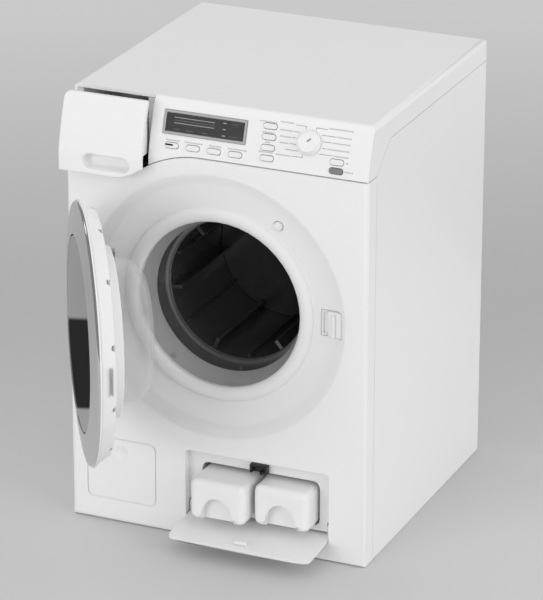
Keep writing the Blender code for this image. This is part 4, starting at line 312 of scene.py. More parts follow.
def polished(name, colour, roughness):
    """Plated plastic: a bright metal with soft orange peel and fine wipe marks."""
    made = Finish(name, Metallic=1.0)
    peel = made.noise(260.0, 2.0, 0.4)
    wipes = made.noise(120.0, 4.0, 0.65, made.stretched((1.0, 6.0, 1.0), (0.0, 0.6, 0.4)))
    marks = wipes.eased(0.55, 0.75)
    tone = made.mix(shade(colour, 0.95), shade(colour, 1.04), peel)
    gloss = roughness + marks * 0.07 + (peel - 0.5) * 0.02
    return made.give(
        Base_Color=tone, Roughness=gloss, Normal=made.relief(peel, 0.000003, sizes().edge_glint)
    )


def metal(name, colour, roughness, stretch):
    """Drawn or brushed metal, its marks stretched one way, with a little dullness in patches."""
    made = Finish(name, Metallic=1.0)
    brush = made.noise(900.0, 4.0, 0.6, made.stretched(stretch))
    patches = made.noise(80.0, 3.0)
    tone = made.mix(shade(colour, 0.82), shade(colour, 1.12), brush * 0.6 + patches * 0.4)
    gloss = roughness + (brush - 0.5) * 0.18 + patches * 0.08
    return made.give(Base_Color=tone, Roughness=gloss, Normal=made.relief(brush, 0.000006))


def smoked_pane(name, colour):
    """Dark tinted plastic with a hard gloss, a few dust specks and the faintest wipe marks."""
    made = Finish(name, IOR=1.62, Coat_Roughness=0.03)
    wipes = made.noise(60.0, 4.0, 0.6, made.stretched((1.0, 1.0, 5.0), (0.4, 0.0, 0.3)))
    specks = made.noise(1500.0, 1.0).eased(0.76, 0.80)
    tint = made.mix(colour, shade(colour, 1.8), wipes)
    dusty = made.mix(tint, (0.10, 0.10, 0.10), specks * 0.6)
    gloss = 0.035 + wipes.eased(0.5, 0.8) * 0.05 + specks * 0.3
    return made.give(Base_Color=dusty, Roughness=gloss, Coat_Weight=0.4)


def clear_plastic(name, colour):
    """Clear moulded plastic, thin to look through, with flow lines, scuffs and a pale rim."""
    made = Finish(name, IOR=1.46)
    rim = made.node("ShaderNodeLayerWeight", None, {"Blend": 0.30}, output="Facing")
    flow = made.noise(26.0, 3.0, 0.55, made.stretched((1.0, 0.35, 1.0)))
    scuffs = made.noise(420.0, 3.0, 0.7).eased(0.60, 0.80)
    tone = made.mix(shade(colour, 0.97), shade(colour, 1.04), flow)
    body = 0.07 + rim.power(2.0) * 0.52 + flow.eased(0.50, 0.72) * 0.16 + scuffs * 0.02
    gloss = 0.03 + scuffs * 0.10 + flow.eased(0.5, 0.9) * 0.04
    bump = made.relief(flow, 0.00003)
    return made.give(Base_Color=tone, Alpha=body.clamped(), Roughness=gloss, Normal=bump)


def soft_rubber(name, colour):
    """Moulded elastomer: satin, a little chalky in patches, with fine turning lines."""
    made = Finish(name, IOR=1.5)
    chalk = made.noise(45.0, 4.0, 0.6)
    grain = made.noise(1800.0, 2.0, 0.6)
    depth = made.axis(1) * 5200.0
    lines = depth.maths("SINE", depth) * 0.5 + 0.5
    tone = made.mix(shade(colour, 0.86), shade(colour, 1.18), chalk * 0.7 + grain * 0.3)
    gloss = 0.20 + (chalk - 0.5) * 0.14 + (grain - 0.5) * 0.06
    return made.give(
        Base_Color=tone, Roughness=gloss, Normal=made.relief(grain + lines * 0.4, 0.000006)
    )


def drum_plastic(name, colour, roughness):
    """Glossy dark plastic, streaked along the drum and dulled where laundry rubs."""
    made = Finish(name, IOR=1.9)
    streaks = made.noise(70.0, 4.0, 0.6, made.stretched((1.0, 0.22, 1.0)))
    rubbed = made.noise(38.0, 3.0, 0.55, made.stretched((1.0, 0.5, 1.0))).eased(0.45, 0.75)
    grain = made.noise(2200.0, 2.0, 0.5)
    tone = made.mix(shade(colour, 0.80), shade(colour, 1.30), streaks)
    dull = made.mix(tone, shade(colour, 1.5), rubbed * 0.5)
    gloss = roughness + (streaks - 0.5) * 0.06 + rubbed * 0.10
    bump = made.relief(grain, 0.0000015)
    return made.give(Base_Color=dull, Roughness=gloss, Normal=bump)


def circuit(name, colour):
    """Green board with darker and lighter tracks and a woven glass texture."""
    made = Finish(name, IOR=1.5)
    tracks = made.node(
        "ShaderNodeTexBrick",
        {"offset": 0.4, "squash": 1.0},
        {
            "Vector": made.place,
            "Color1": (*shade(colour, 0.8), 1),
            "Color2": (*shade(colour, 1.2), 1),
            "Mortar": (*shade(colour, 1.9), 1),
            "Scale": 210.0,
            "Mortar Size": 0.06,
        },
    )
    weave = made.noise(1400.0, 2.0)
    gloss = 0.34 + weave * 0.2
    return made.give(Base_Color=tracks, Roughness=gloss, Normal=made.relief(weave, 0.00001))


# Where the copper band of a cell's sleeve begins and ends, along the cells
BAND = (0.0135, 0.0235)


def cell_sleeve(name, colour):
    """Shrunk sleeve of a cell: dark, with a copper band towards one end."""
    made = Finish(name, Metallic=0.5)
    length = made.axis(0)
    band = length.above(BAND[0]) * length.below(BAND[1])
    creases = made.noise(500.0, 3.0, 0.6, made.stretched((0.3, 1.0, 1.0)))
    tone = made.mix(shade(colour, 0.85), shade(colour, 1.3), creases)
    banded = made.mix(tone, (0.50, 0.26, 0.10), band * (0.85 + creases * 0.15))
    gloss = 0.28 + creases * 0.14
    return made.give(Base_Color=banded, Roughness=gloss, Normal=made.relief(creases, 0.00001))


def printed(name, colour, cover):
    """Screen-printed ink, slightly uneven where it lies thin on the plastic."""
    made = Finish(name, IOR=1.45)
    thin = made.noise(2600.0, 2.0, 0.6)
    pores = made.noise(900.0, 2.0).eased(0.60, 0.72)
    tone = made.mix(shade(colour, 0.85), shade(colour, 1.25), thin)
    faded = made.mix(tone, colours().white, pores * (1 - cover))
    return made.give(Base_Color=faded, Roughness=0.42 + thin * 0.12)


def lit_segments(name, level):
    """Pale printed segments under the display pane, a little uneven along their length."""
    made = Finish(name)
    uneven = made.noise(420.0, 2.0)
    tone = made.mix((level * 0.75,) * 3, (level * 1.1,) * 3, uneven)
    return made.give(Base_Color=tone, Roughness=0.30 + uneven * 0.15)


FINISHES = {}


def make_finishes():
    """Every material of the object, by the name of the finish it gives."""
    shades = colours()
    FINISHES.update(
        white=moulded("outer_white", shades.white, 0.34, 1500.0, 0.12, 0.014),
        inner_white=moulded("inner_white", shades.inner_white, 0.50, 900.0, 0.0, 0.03),
        housing=housing_painted_shade("housing_painted_shade", shades.inner_white, shades.housing),
        key_white=moulded("key_white", shades.key_white, 0.32, 2000.0, 0.10, 0.02),
        key_grey=moulded("key_grey", shades.key_grey, 0.36, 2000.0, 0.10, 0.06),
        chrome=polished("ring_chrome", shades.chrome, 0.13),
        silver=moulded("surround_silver", shades.silver, 0.36, 1200.0, 0.10, 0.05),
        smoked=smoked_pane("smoked_pane", shades.smoked),
        clear=clear_plastic("clear_bowl", shades.clear),
        display=smoked_pane("display_pane", shades.display),
        grey_rubber=soft_rubber("gasket_grey", shades.rubber),
        charcoal=drum_plastic("drum_charcoal", shades.drum, 0.20),
        charcoal_gloss=drum_plastic("drum_back_gloss", shades.drum, 0.05),
        # The drum's front rim: the drum's plastic painted 2.2 times lighter, painted light for the sheen along its
        # rounded edge.
        drum_rim=drum_plastic("drum_rim_painted_light", shade(shades.drum, 2.2), 0.22),
        black=moulded("catch_black", shades.black, 0.38, 1500.0, 0.05, 0.15),
        steel=metal("plain_steel", shades.steel, 0.26, (1.0, 1.0, 0.2)),
        gear=moulded("gear_natural", shades.gear, 0.42, 1200.0, 0.0, 0.05),
        board=circuit("board_green", shades.board),
        cell=cell_sleeve("cell_sleeve", shades.cell),
        ink=printed("printed_ink", shades.ink, 0.8),
        faint_ink=printed("faint_ink", shade(shades.ink, 2.1), 0.5),
        segments=lit_segments("display_segments", 0.42),
        faint_segments=lit_segments("display_faint_segments", 0.17),
    )


# Mesh work


# Points closer than these, in metres, are one: round a turned shape, and in a frame node's mesh
SEAM_GAP = 0.000001
WELD_GAP = 0.000002
# Faces that turn by less than the first angle are made one; edges that turn by more than the
# second are rounded
FLAT_ANGLE = math.radians(0.3)
SOFT_ANGLE = math.radians(25.0)


def on_axis():
    """The drum's and the closed door's place: u along +X, v along +Z and w along +Y."""
    return Matrix(((1, 0, 0, 0), (0, 0, 1, 0), (0, 1, 0, AXIS_Z), (0, 0, 0, 1)))


def swung_open():
    """Carries a piece of the door from where it closes to where it stands open."""
    turn = Matrix.Rotation(-DOOR_OPEN, 4, "Z")
    return Matrix.Translation(DOOR_PIN) @ turn @ Matrix.Translation(-DOOR_PIN)


def face_angle(z):
    """How far the control face leans back at a height; the flat front below it doesn't."""
    return math.asin((z - LEAN_Z + LEAN_RADIUS * math.sin(LEAN_START)) / LEAN_RADIUS)


def face_y(z):
    """The depth of the front at a height."""
    if z < LEAN_Z:
        return FRONT_Y
    return FRONT_Y + LEAN_RADIUS * (math.cos(LEAN_START) - math.cos(face_angle(z)))


def on_face(x, z):
    """A place on the leaning control face: u to the right, v up the face, w out of it."""
    angle = face_angle(z)
    place = Matrix.Identity(4)
    place.col[1].xyz = (0, math.sin(angle), math.cos(angle))
    place.col[2].xyz = (0, -math.cos(angle), math.sin(angle))
    place.col[3].xyz = (x, face_y(z), z)
    return place


def up_face(z, distance):
    """The height reached by going a distance up the leaning face from a height."""
    sine = (z - LEAN_Z) / LEAN_RADIUS + math.sin(LEAN_START)
    return z + LEAN_RADIUS * (math.sin(math.asin(sine) + distance / LEAN_RADIUS) - sine)


def outward(bm):
    """A new shape with all its faces outwards."""
    bmesh.ops.recalc_face_normals(bm, faces=bm.faces)
    if bm.calc_volume(signed=True) < 0:
        bmesh.ops.reverse_faces(bm, faces=bm.faces)
    return bm


def turned(profile, steps=None, closed=False):
    """A profile of (radius, height) pairs spun about w, its poles and seam merged."""
    bm = bmesh.new()
    points = [bm.verts.new((radius, 0, height)) for radius, height in profile]
    pairs = list(zip(points, points[1:]))
    if closed:
        pairs.append((points[-1], points[0]))
    edges = [bm.edges.new(pair) for pair in pairs]
    steps = steps or sizes().turns
    about = {"cent": (0, 0, 0), "axis": (0, 0, 1), "angle": 2 * math.pi, "steps": steps}
    bmesh.ops.spin(bm, geom=points + edges, use_merge=True, **about)
    bmesh.ops.remove_doubles(bm, verts=bm.verts, dist=SEAM_GAP)
    loose = [edge for edge in bm.edges if edge.is_wire]
    bmesh.ops.delete(bm, geom=loose, context="EDGES")
    return outward(bm)


def slab(outline, low, high):
    """A flat outline raised from low to high along w."""
    bm = bmesh.new()
    face = bm.faces.new([bm.verts.new((u, v, low)) for u, v in outline])
    raised = bmesh.ops.extrude_face_region(bm, geom=[face])
    points = [item for item in raised["geom"] if isinstance(item, bmesh.types.BMVert)]
    bmesh.ops.translate(bm, vec=(0, 0, high - low), verts=points)
    return outward(bm)


def block(u, v, w):
    """A block between three (low, high) pairs."""
    return slab([(u[0], v[0]), (u[1], v[0]), (u[1], v[1]), (u[0], v[1])], *w)


def soften(bm, width, segments=2, chosen=None):
    """Rounds the edges of a shape, or those of them that are chosen."""
    turning = [e for e in bm.edges if e.is_manifold and e.calc_face_angle() > SOFT_ANGLE]
    edges = [edge for edge in turning if not chosen or chosen(edge)]
    how = {"profile": 0.5, "affect": "EDGES", "material": -1, "clamp_overlap": True}
    bmesh.ops.bevel(bm, geom=edges, offset=width, segments=segments, **how)


def moved(bm, place):
    """A shape carried to its place, its faces outwards again where the place mirrors it."""
    bm.transform(place)
    if place.determinant() < 0:
        bmesh.ops.reverse_faces(bm, faces=bm.faces)
    return bm


def gathered(parts):
    """Several shapes as one."""
    whole = bmesh.new()
    for part in parts:
        mesh = bpy.data.meshes.new("part")
        part.to_mesh(mesh)
        part.free()
        whole.from_mesh(mesh)
        bpy.data.meshes.remove(mesh)
    return whole


def merged(node):
    """A copy of a frame node's mesh, its loose triangles joined and its flat areas made whole."""
    bm = bmesh.new()
    bm.from_mesh(NODES[node].data)
    bmesh.ops.remove_doubles(bm, verts=bm.verts, dist=WELD_GAP)
    bmesh.ops.dissolve_limit(bm, angle_limit=FLAT_ANGLE, verts=bm.verts, edges=bm.edges)
    return bm


def piece(bm, name, body, finish, replaces=(), place=None, sharp=35.0):
    """A finished piece: its place in its mesh, smooth up to sharp edges, riding on its body."""
    if place:
        moved(bm, place)
    mesh = bpy.data.meshes.new(name)
    bm.to_mesh(mesh)
    bm.free()
    mesh.shade_smooth()
    mesh.set_sharp_from_angle(angle=math.radians(sharp))
    mesh.materials.append(FINISHES[finish])
    item = bpy.data.objects.new(name, mesh)
    bpy.context.scene.collection.objects.link(item)
    weighted = item.modifiers.new("even_shading", "WEIGHTED_NORMAL")
    weighted.keep_sharp = True
    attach(item, body)
    if replaces:
        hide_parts(*replaces)


def bow(centre, radius, first, last, steps):
    """Points along an arc between two angles in degrees."""
    turns = [math.radians(first + (last - first) * index / steps) for index in range(steps + 1)]
    return [(centre[0] + radius * math.cos(a), centre[1] + radius * math.sin(a)) for a in turns]


def spaced(outline, step):
    """The same closed outline with points added along its long sides."""
    points = []
    for start, end in zip(outline, [*outline[1:], outline[0]]):
        start, end = Vector(start), Vector(end)
        count = max(1, math.ceil((end - start).length / step))
        points.extend(tuple(start.lerp(end, index / count)) for index in range(count))
    return points


def drawn_in(outline, distance):
    """An anticlockwise outline moved inwards by a distance."""
    points = []
    count = len(outline)
    for index, place in enumerate(outline):
        before, after = Vector(outline[index - 1]), Vector(outline[(index + 1) % count])
        along = (after - before).normalized()
        points.append((place[0] - along.y * distance, place[1] + along.x * distance))
    return points


def lofted(loops):
    """Loops of equally many points joined one after the other, with a cap at each end."""
    bm = bmesh.new()
    rows = [[bm.verts.new(place) for place in loop] for loop in loops]
    for row, following in zip(rows, rows[1:]):
        count = len(row)
        for index in range(count):
            other = (index + 1) % count
            bm.faces.new((row[index], row[other], following[other], following[index]))
    bm.faces.new(rows[0])
    bm.faces.new(rows[-1])
    return outward(bm)


def oval(width, height, steps=12):
    """An outline with straight long sides and round ends, centred on zero."""
    radius = height / 2
    reach = width / 2 - radius
    right = bow((reach, 0), radius, -90, 90, steps)
    left = bow((-reach, 0), radius, 90, 270, steps)
    return [*right, *left]


class Undone:
    """What the operators share: each can be undone."""

    bl_options = {"REGISTER", "UNDO"}


class WASHER_OT_shell(Undone, bpy.types.Operator):
    """Smooth copies of the cabinet, the front panel and the lid, and the hinge's bracket"""

    bl_idname = "washer.shell"
    bl_label = "Shell"

    def execute(self, context):
        for node in ("front_panel", "cabinet_shell", "top_cover", "rear_cover"):
            piece(merged(node), node + "_smooth", "cabinet", "white", (node,))
        self.bracket("door_hinge_bracket")
        return {"FINISHED"}

    def bracket(self, node):
        """The hinge's bracket with its plate and the ribs behind it."""
        low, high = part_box(node)
        thick, rib_front, pin = 0.0018, -0.0848, DOOR_PIN.x
        plate = block((pin - 0.0080, pin + 0.0125), (high.y - thick, high.y), (low.z, high.z))
        parts = [merged(node), plate]
        for z, half in ((-0.0229, 0.0012), (0, 0.0112), (0.0229, 0.0012)):
            levels = (AXIS_Z + z - half, AXIS_Z + z + half)
            parts.append(block((pin + 0.0019, pin + 0.0117), (rib_front, high.y), levels))
        piece(gathered(parts), node + "_plate", "cabinet", "inner_white", (node,))


class WASHER_OT_finishes(Undone, bpy.types.Operator):
    """The finishes of every frame node that stays in view"""

    bl_idname = "washer.finishes"
    bl_label = "Finishes"

    def execute(self, context):
        slots = {part["node"]: part["material_slot"] for part in frame["record"]["subparts"]}
        slots["drawer_housing"] = "housing"
        for node, item in NODES.items():
            if not item.data.materials:
                item.data.materials.append(None)
            for slot in item.material_slots:
                slot.material = FINISHES[slots[node]]
        return {"FINISHED"}


class WASHER_OT_door(Undone, bpy.types.Operator):
    """The swung-open door: ring, outer pane, white shell and clear bowl"""

    bl_idname = "washer.door"
    bl_label = "Door"

    def execute(self, context):
        own = sizes()
        opened = swung_open() @ on_axis()
        self.ring(own, opened)
        self.shell(opened)
        self.bowl(own, opened)
        return {"FINISHED"}

    def ring(self, own, opened):
        """The bright ring, rising to the pane in a shallow cone, and the smoked pane in it."""
        inner, rim, base, soft = 0.0555, 0.0744, RING_FACE_Y + 0.0020, own.ring_soft
        crest = RING_FACE_Y - own.ring_proud
        profile = [
            (inner + 0.0006, base), (inner, crest + 2 * soft),
            *bow((inner + soft, crest + soft), soft, 180, 264, 5),
            (rim - 0.0011, RING_FACE_Y - soft * 0.8), (rim - 0.0007, RING_FACE_Y - soft * 0.6),
            (rim - 0.0002, RING_FACE_Y + soft * 0.8), (rim, RING_FACE_Y + 0.0009), (rim, base),
        ]
        ring = turned(profile, closed=True)
        piece(ring, "door_ring_bright", "door", "chrome", ("door_ring",), opened, sharp=50)
        reach, face, dome = inner - 0.0002, crest + 0.0004, own.pane_dome
        profile = [
            (0, face - dome), (reach * 0.35, face - dome * 0.88),
            (reach * 0.70, face - dome * 0.51), (reach - 0.0004, face),
            (reach, face + 0.0004), (reach, base), (0, base),
        ]
        pane = turned(profile)
        piece(pane, "door_pane_smoked", "door", "smoked", ("door_glass",), opened, sharp=40)

    def shell(self, opened):
        """The white shell with its lip and collar, the screw heads and the latch's seat."""
        lip = [
            (0.0738, -0.0979), (0.0743, -0.0987), (0.0746, -0.0989),
            (0.0749, -0.0987), (0.0750, -0.0984), (0.0750, -0.0979),
        ]
        radius, rear = 0.0484, FRAME_REAR_Y
        collar = [
            (radius, rear - 0.0004), (radius, rear + 0.0062),
            *bow((radius - 0.0008, rear + 0.0062), 0.0008, 0, 90, 4),
            (radius - 0.0022, rear + 0.0068), (radius - 0.0032, rear + 0.0050),
            (radius - 0.0032, rear - 0.0004),
        ]
        rims = [moved(turned(profile, closed=True), opened) for profile in (lip, collar)]
        shell = gathered([merged("door_frame"), *rims])
        piece(shell, "door_shell_white", "door", "white", ("door_frame",))
        head = [
            (0, -0.0904), (0.0004, -0.0902), (0.0011, -0.0902),
            (0.0015, -0.0906), (0.0015, -0.0912), (0, -0.0912),
        ]
        heads, count, reach = [], 12, 0.0685
        for index in range(count):
            turn = Matrix.Rotation(2 * math.pi * (index + 0.5) / count, 4, "Z")
            place = turn @ Matrix.Translation((reach, 0, 0))
            heads.append(moved(turned(head, steps=16), place))
        piece(gathered(heads), "door_screw_heads", "door", "silver", (), opened)
        seat = block((0.07035, 0.07325), (-0.0079, 0.0079), (-0.0922, -0.0918))
        piece(seat, "door_latch_seat", "door", "silver", (), opened)

    def bowl(self, own, opened):
        """The clear bowl: a flange, a tapering wall and a rounded bottom, in one wall."""
        mouth, low, depth, bend, wall = 0.0430, 0.0412, 0.0262, own.bowl_bend, own.bowl_wall
        base = FRAME_REAR_Y + 0.0003
        end, reach = base + depth, low - bend
        profile = [
            (mouth + 0.0020, base), (mouth + 0.0020, base + 0.0030),
            (mouth + 0.0014, base + 0.0046), (mouth + 0.0004, base + 0.0052),
            *bow((reach, end - bend), bend, 0, 84, 16),
            (reach * 0.5, end - 0.00003), (0, end + 0.0002),
            (0, end - wall), (reach * 0.5, end - wall - 0.00005),
            *bow((reach, end - bend), bend - wall, 84, 0, 16),
            (mouth - wall, base + wall), (mouth - wall + 0.0006, base),
        ]
        bowl = turned(profile, closed=True)
        piece(bowl, "door_bowl_clear", "door", "clear", ("door_bowl",), opened, sharp=50)


class WASHER_OT_drum(Undone, bpy.types.Operator):
    """The drum with its ribs and back, and the grey gasket in front of it"""

    bl_idname = "washer.drum"
    bl_label = "Drum"

    def execute(self, context):
        own, radius, flange, front = sizes(), 0.0425, 0.0530, DRUM_Y
        self.gasket(own)
        self.barrel(own, radius, flange, front)
        profile = [
            (radius + 0.0012, front - 0.0001),
            *bow((radius + 0.0030, front - 0.0003), 0.0006, 250, 290, 3),
            (flange - 0.0040, front - 0.0012), (flange - 0.0010, front - 0.0011),
            (flange - 0.0002, front - 0.0001),
        ]
        rim = turned(profile, closed=True)
        # The rim wears the drum's plastic painted lighter: painted light.
        piece(rim, "drum_front_rim", "drum", "drum_rim", (), on_axis())
        disc, hub, shaft = DRUM_BACK_Y - 0.0023, 0.0080, 0.0033
        profile = [
            (0, disc - 0.0012), (0.0030, disc - 0.0012),
            *bow((0.0034, disc - 0.0008), 0.0004, -90, 0, 4),
            (0.0040, disc), (radius - 0.0003, disc), (radius - 0.0003, disc + 0.0020),
            (hub, disc + 0.0020), (hub, disc + 0.0056),
            (shaft, disc + 0.0056), (shaft, disc + 0.0017), (0, disc + 0.0017),
        ]
        back = turned(profile)
        piece(back, "drum_disc", "drum", "charcoal_gloss", ("drum_back",), on_axis())
        return {"FINISHED"}

    def barrel(self, own, radius, flange, front):
        """The open barrel with its front flange, and its ribs by turns tall and low."""
        wall, back, first = 0.0018, DRUM_BACK_Y, math.radians(8)
        profile = [
            (radius, back), (radius, front + 0.0012),
            *bow((radius + 0.0009, front + 0.0012), 0.0009, 180, 255, 4),
            (radius + 0.0014, front), (flange - 0.0004, front), (flange, front + 0.0004),
            (flange, front + wall), (radius + wall, front + wall), (radius + wall, back),
        ]
        parts = [turned(profile, closed=True)]
        for index in range(own.ribs):
            rise, width = (0.0022, 0.0012) if index % 2 else (0.0058, 0.0022)
            across = (radius - rise, radius + wall / 2)
            rib = block(across, (-width / 2, width / 2), (front + 0.0027, back - 0.0041))
            soften(rib, own.rib_edge, 3, lambda edge: max(v.co.x for v in edge.verts) < radius)
            turn = first + 2 * math.pi * index / own.ribs
            parts.append(moved(rib, Matrix.Rotation(turn, 4, "Z")))
        piece(gathered(parts), "drum_barrel_ribbed", "drum", "charcoal", ("drum_shell",), on_axis())

    def gasket(self, own):
        """The gasket's flange, its sleeve, its lip and its two nubs."""
        inner, depth, wall, first = 0.0514, 0.0225, 0.0016, math.radians(231)
        front, lip, lip_y = GASKET_Y, own.gasket_lip, GASKET_Y + 0.0115
        profile = [
            (inner + 0.0060, front), (inner + 0.0060, front + wall),
            (inner + wall, front + wall), (inner + wall + 0.0006, front + depth),
            (inner + 0.0006, front + depth), (inner + 0.0002, front + 0.0053),
            (inner - 0.0008, front + 0.0037), (lip + 0.0012, lip_y + 0.0012),
            *bow((lip + 0.0008, lip_y + 0.0004), 0.0008, 60, 210, 6),
            (inner - 0.0003, front + 0.0006), (inner + 0.0003, front),
        ]
        parts = [turned(profile, closed=True)]
        for index in range(2):
            across = (inner - 0.0030, inner - 0.0008)
            nub = block(across, (-0.0011, 0.0011), (front + 0.0022, front + 0.0044))
            soften(nub, 0.0003)
            parts.append(moved(nub, Matrix.Rotation(first + index * math.pi, 4, "Z")))
        sleeve = gathered(parts)
        piece(sleeve, "gasket_sleeve", "cabinet", "grey_rubber", ("gasket_ring",), on_axis())


# The drawer's grip: its outline's middle, half its straight length, its radius, and the loops of
# its hollow as (growth, depth)
GRIP_MIDDLE = Vector((-0.0628, 0.2261))
GRIP_REACH = 0.0101
GRIP_RADIUS = 0.0049
GRIP_LOOPS = (
    (-0.0026, 0.0066), (-0.0018, 0.0063), (-0.0010, 0.0052),
    (-0.0006, 0.0010), (-0.0003, 0.0003), (0.0002, 0.0),
)
# The heights between which the tray and the stay behind the front lie
TRAY_LEVELS = (0.2312, 0.2490)


class WASHER_OT_drawer(Undone, bpy.types.Operator):
    """The drawer: a thin curved front with a finger grip, and the open tray behind it"""

    bl_idname = "washer.drawer"
    bl_label = "Drawer"

    def execute(self, context):
        self.front()
        low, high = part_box("drawer_tray")
        wall, floor, share = 0.0014, 0.2330, 0.6
        middle = low.x + (high.x - low.x) * share
        chambers = ((low.x + wall, middle - wall / 2), (middle + wall / 2, high.x - wall))
        tray = block((low.x, high.x), (low.y, high.y), TRAY_LEVELS)
        self.hollow(tray, chambers, (low.y + wall, high.y - wall), floor)
        soften(tray, 0.0003)
        piece(tray, "drawer_tray_boxes", "drawer", "white", ("drawer_tray",))
        return {"FINISHED"}

    def hollow(self, bm, spans, y, floor):
        """Sinks a chamber for each span into a block's flat top."""
        for x in sorted(edge for span in spans for edge in span):
            self.split(bm, (x, 0, 0), (1, 0, 0))
        for across in y:
            self.split(bm, (0, across, 0), (0, 1, 0))
        top = max(v.co.z for v in bm.verts)
        for left, right in spans:
            lids = []
            for face in bm.faces:
                centre = face.calc_center_median()
                level = face.normal.z > 0.9 and centre.z > top - 0.0001
                if level and left < centre.x < right and y[0] < centre.y < y[1]:
                    lids.append(face)
            sunk = bmesh.ops.extrude_discrete_faces(bm, faces=lids)
            for face in sunk["faces"]:
                for v in face.verts:
                    v.co.z = floor

    def split(self, bm, point, normal):
        """Cuts every face along a plane and keeps both sides."""
        whole = [*bm.verts, *bm.edges, *bm.faces]
        bmesh.ops.bisect_plane(bm, geom=whole, plane_co=point, plane_no=normal, dist=0.0000005)

    def front(self):
        """The front: loops from the grip's floor out over the face, round the rim and behind."""
        left, right, low, top = -0.0925, -0.0409, 0.2183, 0.2627
        small, large, scoop, thick = 0.0012, 0.0036, 0.0260, 0.0032
        outline = [
            *bow((-0.0595, low + scoop), scoop, 270, 303, 8), (right, 0.22546),
            *bow((right - small, top - small), small, 0, 90, 5),
            *bow((left + large, top - large), large, 90, 180, 8),
            *bow((left + small, low + small), small, 180, 270, 5),
        ]
        edge = spaced(outline, 0.0018)
        loops = [(self.grip(edge, grow), depth) for grow, depth in GRIP_LOOPS]
        for inset, depth in ((0.0012, 0.0), (0.0007, 0.00008), (0.0003, 0.0003), (0.0, 0.0009)):
            loops.append((drawn_in(edge, inset), depth))
        loops += [(edge, thick - 0.0002), (drawn_in(edge, 0.0003), thick)]
        loops += [(self.grip(edge, 0.0016), depth) for depth in (thick, 0.0078)]
        bm = lofted([[(x, depth, z) for x, z in loop] for loop, depth in loops])
        for step in range(22):
            self.split(bm, (0, 0, 0.2195 + 0.0020 * step), (0, 0, 1))
        near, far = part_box("drawer_front")
        for v in bm.verts:
            v.co.y = min(v.co.y + face_y(v.co.z) + near.y - FRONT_Y, far.y)
        stay = block((-0.0908, -0.0424), (-0.0962, far.y), TRAY_LEVELS)
        soften(stay, 0.0004)
        whole = gathered([bm, stay])
        piece(whole, "drawer_front_curved", "drawer", "white", ("drawer_front",), sharp=50)

    def grip(self, edge, grow):
        """The grip's outline, one point towards each point of the edge."""
        reach, radius = GRIP_REACH, GRIP_RADIUS + grow
        points = []
        for place in edge:
            towards = (Vector(place) - GRIP_MIDDLE).normalized()
            far = radius / max(abs(towards.y), 0.000001)
            if abs(towards.x) * far > reach:
                side = abs(towards.x) * reach
                far = side + math.sqrt(side**2 + radius**2 - reach**2)
            points.append(tuple(GRIP_MIDDLE + towards * far))
        return points


class WASHER_OT_dosing(Undone, bpy.types.Operator):
    """Smooth copies of the flap, the two dosing containers and the catches"""

    bl_idname = "washer.dosing"
    bl_label = "Dosing flap and containers"

    def execute(self, context):
        for node in ("container_left", "container_right"):
            piece(self.scooped(node), node + "_smooth", node, "white", (node,), sharp=40)
        flap = merged("flap")
        clearance = 0.00015
        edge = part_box("flap")[0].y + clearance
        for v in flap.verts:
            v.co.y = max(v.co.y, edge)
        piece(flap, "flap_smooth", "flap", "white", ("flap",), sharp=40)
        piece(merged("door_catch"), "door_catch_smooth", "cabinet", "white", ("door_catch",))
        piece(merged("flap_catch"), "flap_catch_smooth", "cabinet", "black", ("flap_catch",))
        return {"FINISHED"}

    def scooped(self, node):
        """A copy of a container, the arch of its finger scoop made wider and taller."""
        bm = merged(node)
        low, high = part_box(node)
        half, depth, foot, top = 0.0086, 0.0056, 0.0040, 0.0116
        wider, taller = 1.16, 1.5
        middle, start = (low.x + high.x) / 2, low.z + foot
        for v in bm.verts:
            if abs(v.co.x - middle) > half or v.co.y > low.y + depth:
                continue
            v.co.x = middle + (v.co.x - middle) * wider
            if start < v.co.z < low.z + top:
                v.co.z = start + (v.co.z - start) * taller
        return bm


# Keys on the control face: name, x, z and finish. A row lies under the display, a column beside it
KEYS = (
    *((f"display_key_{i + 1}", -0.02680 + i * 0.01293, 0.2386, "key_white") for i in range(4)),
    *((f"side_key_{i + 1}", 0.03110, 0.2563 - i * 0.0057, "key_white") for i in range(4)),
    ("light_key", 0.07280, 0.2425, "key_white"),
    ("power_key", 0.07280, 0.2378, "key_grey"),
)
KEY_WIDTH = 0.0080
KEY_HEIGHT = 0.0031
KEY_FLANGE = 0.0006

class WASHER_OT_keys(Undone, bpy.types.Operator):
    """The ten press keys, each an oval cap on a flange and a stem"""

    bl_idname = "washer.keys"
    bl_label = "Keys"

    def execute(self, context):
        edge, grow, top = sizes().key_edge, 2 * KEY_FLANGE, 0.0007
        for name, x, z, finish in KEYS:
            cap = slab(oval(KEY_WIDTH, KEY_HEIGHT), -0.0029, top)
            soften(cap, edge, 3, lambda side: min(v.co.z for v in side.verts) > top - 0.0001)
            flange = slab(oval(KEY_WIDTH + grow, KEY_HEIGHT + grow), -0.0033, -0.0025)
            stem = block((-0.0015, 0.0015), (-0.0010, 0.0010), (-0.0087, -0.0030))
            whole = gathered([cap, flange, stem])
            piece(whole, name + "_cap", name, finish, (name,), on_face(x, z))
        name, x, z, _ = KEYS[0]
        bar = slab(oval(0.0049, 0.0010, 6), 0.0006, 0.00078)
        piece(bar, name + "_bar", name, "black", (), on_face(x - 0.0014, z + 0.0003))
        return {"FINISHED"}


